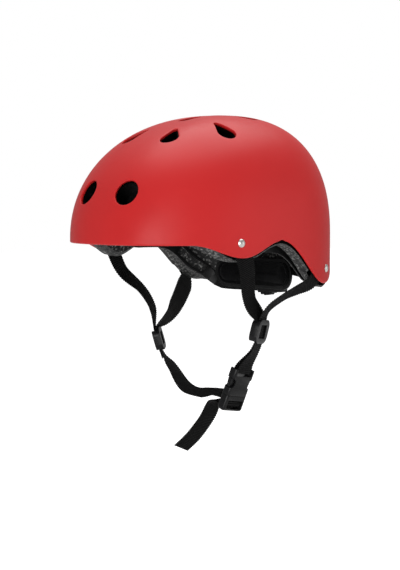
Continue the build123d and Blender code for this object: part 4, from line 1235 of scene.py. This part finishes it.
# %% Brushed pad cloth
pad_cloth, tree, shader = finish_of("brushed_pad_cloth", (0.003, 0.003, 0.0033), 0.9, specular=0.05)
place = object_place(tree)
loops = node(tree, "ShaderNodeTexVoronoi", Scale=1500.0)
link(tree, place, loops.inputs["Vector"])
shades = [(0.3, (0.0018, 0.0018, 0.002)), (0.75, (0.005, 0.005, 0.0054))]
wander(tree, place, 70.0, 5.0, shades, shader.inputs["Base Color"])
first_normal = relief(tree, shader, loops.outputs["Distance"], 0.00025, 0.6)
relief(tree, shader, noise_of(tree, place, 160.0, 3.0), 0.0004, 0.35, first_normal)
shader.inputs["Sheen Weight"].default_value = 0.04
shader.inputs["Sheen Roughness"].default_value = 0.5

# %% Pad builder
pad_columns, pad_rows = 64, 32
corner_power, side_draw = 9, 0.06
flange_share, swell_power = 0.16, 0.55
ripple_height = 0.0003
seam_merge = 0.00002


def pad_point(spot, a, b, thickness):
    reach_a = a * (1 - side_draw * abs(b) ** corner_power * abs(a) ** 2)
    reach_b = b * (1 - abs(a) ** corner_power) ** 0.5 if abs(a) < 1 else 0.0
    swell = max(min(1 - abs(a) ** 6, 1 - abs(b) ** 5), 0) ** swell_power
    ripple = ripple_height * math.sin(9 * a + 5 * b) * math.sin(7 * b + 1.3) * swell
    depth = thickness * (flange_share + (1 - flange_share) * swell) + ripple
    return spot(reach_a, reach_b, depth if thickness else 0.0)


def pad(name, spot, thickness, node_name):
    made = Builder()
    u = np.linspace(-1, 1, pad_columns + 1)
    v = np.linspace(-1, 1, pad_rows + 1)
    top, low = [
        [made.add([pad_point(spot, a, b, depth) for b in v]) for a in u] for depth in (thickness, 0)
    ]
    for grid in (top, low):
        for one, two in zip(grid, grid[1:]):
            made.strip(one, two, closed=False)
    border = [(k, 0) for k in range(pad_columns)] + [(pad_columns, k) for k in range(pad_rows)]
    border += [(pad_columns - k, pad_rows) for k in range(pad_columns)]
    border += [(0, pad_rows - k) for k in range(pad_rows)]
    made.strip([top[a][b] for a, b in border], [low[a][b] for a, b in border])
    piece = made.make(name, [pad_cloth])
    work = bmesh.new()
    work.from_mesh(piece.data)
    bmesh.ops.remove_doubles(work, verts=work.verts, dist=seam_merge)
    work.to_mesh(piece.data)
    work.free()
    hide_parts(node_name)
    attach(piece, "helmet")


# %% Five comfort pads
pad_lift, pad_thick = 0.00245, 0.007
crown_pad_half_width, crown_pad_half_length = 0.029, 0.046


def wall_spot(turn_degrees, half_degrees, level, height):
    def spot(u, v, depth):
        turn = math.radians(turn_degrees + u * half_degrees)
        z = level + v * height / 2
        inset, drop = liner_inset + pad_lift + depth, liner_drop + pad_lift + depth
        power = float(power_at(turn))
        lean = (1 - (max(z, 0) / (crown_height - drop)) ** power) ** (1 / power)
        c, s = math.cos(turn), math.sin(turn)
        radius = lean / float(plan_norm(c, s))
        y = widest_y + float(reach_at(s, inset)) * radius * s
        return ((half_width - inset) * radius * c, y, z)
    return spot


def crown_spot(u, v, depth):
    x, y = v * crown_pad_half_width, vent_ring_y + u * crown_pad_half_length
    side, along = [float(share) for share in plan_shares(x, y, liner_inset)]
    power = float(power_at(math.atan2(along, side)))
    radius = float(plan_norm(side, along))
    height = (crown_height - liner_drop) * (1 - radius ** power) ** (1 / power)
    return (x, y, height - pad_lift - depth)


pad("pad_side_left", wall_spot(0, 34, 0.033, 0.034), pad_thick, "side_pad_left")
pad("pad_side_right", wall_spot(180, 34, 0.033, 0.034), pad_thick, "side_pad_right")
pad("pad_front", wall_spot(-90, 34, 0.019, 0.027), pad_thick, "front_pad")
pad("pad_rear", wall_spot(90, 28, 0.018, 0.024), pad_thick, "rear_pad")
pad("pad_crown", crown_spot, pad_thick, "crown_pad")

# %% [markdown]
# The nape pad is a stadium of the same cloth on the cradle, bound round its edge. Rings of
# shrinking stadiums carry the profile: a rounded binding, a sewn groove and then the crowned face.

# %% Nape pad
cradle_y, cradle_z, cradle_radius = 0.081, -0.0375, 0.190
nape_lift = 0.0003
nape_half_length, nape_half_height = 0.050, 0.012
arc_stops, side_stops = 20, 30
nape_rings = (
    (0.0, 0.0), (0.0, 0.0012), (0.0005, 0.0019), (0.0014, 0.0022),
    (0.0022, 0.0019), (0.0027, 0.0012), (0.0032, 0.0019), (0.0042, 0.0031),
    (0.0058, 0.0041), (0.0078, 0.0047), (0.0100, 0.0050), (0.0119, 0.0050),
)


def cradle_spot(x, z, depth):
    angle = x / cradle_radius
    radius = cradle_radius - nape_lift - depth
    y = cradle_y - cradle_radius + radius * math.cos(angle)
    return (radius * math.sin(angle), y, cradle_z + z)


def stadium_ring(inset):
    radius = nape_half_height - inset
    straight = nape_half_length - nape_half_height
    turns = np.linspace(-math.pi / 2, math.pi / 2, arc_stops)
    half = [(straight + radius * math.cos(a), radius * math.sin(a)) for a in turns]
    half += [(x, radius) for x in np.linspace(straight, -straight, side_stops)[1:-1]]
    return half + [(-x, -z) for x, z in half]


nape = Builder()
rows = []
for inset, depth in nape_rings:
    rows.append(nape.add([cradle_spot(x, z, depth) for x, z in stadium_ring(inset)]))
for one, two in zip(rows, rows[1:]):
    nape.strip(one, two)
nape.face(rows[0])
nape.face(rows[-1])
nape_piece = nape.make("pad_nape", [pad_cloth])
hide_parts("nape_pad")
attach(nape_piece, "helmet")

low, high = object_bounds()
{"cad": [list(cad_low), list(cad_high)], "visual": [list(low), list(high)]}
print("visual box", [round(v, 4) for v in low], [round(v, 4) for v in high])
print("cad box", [round(v, 4) for v in cad_low], [round(v, 4) for v in cad_high])
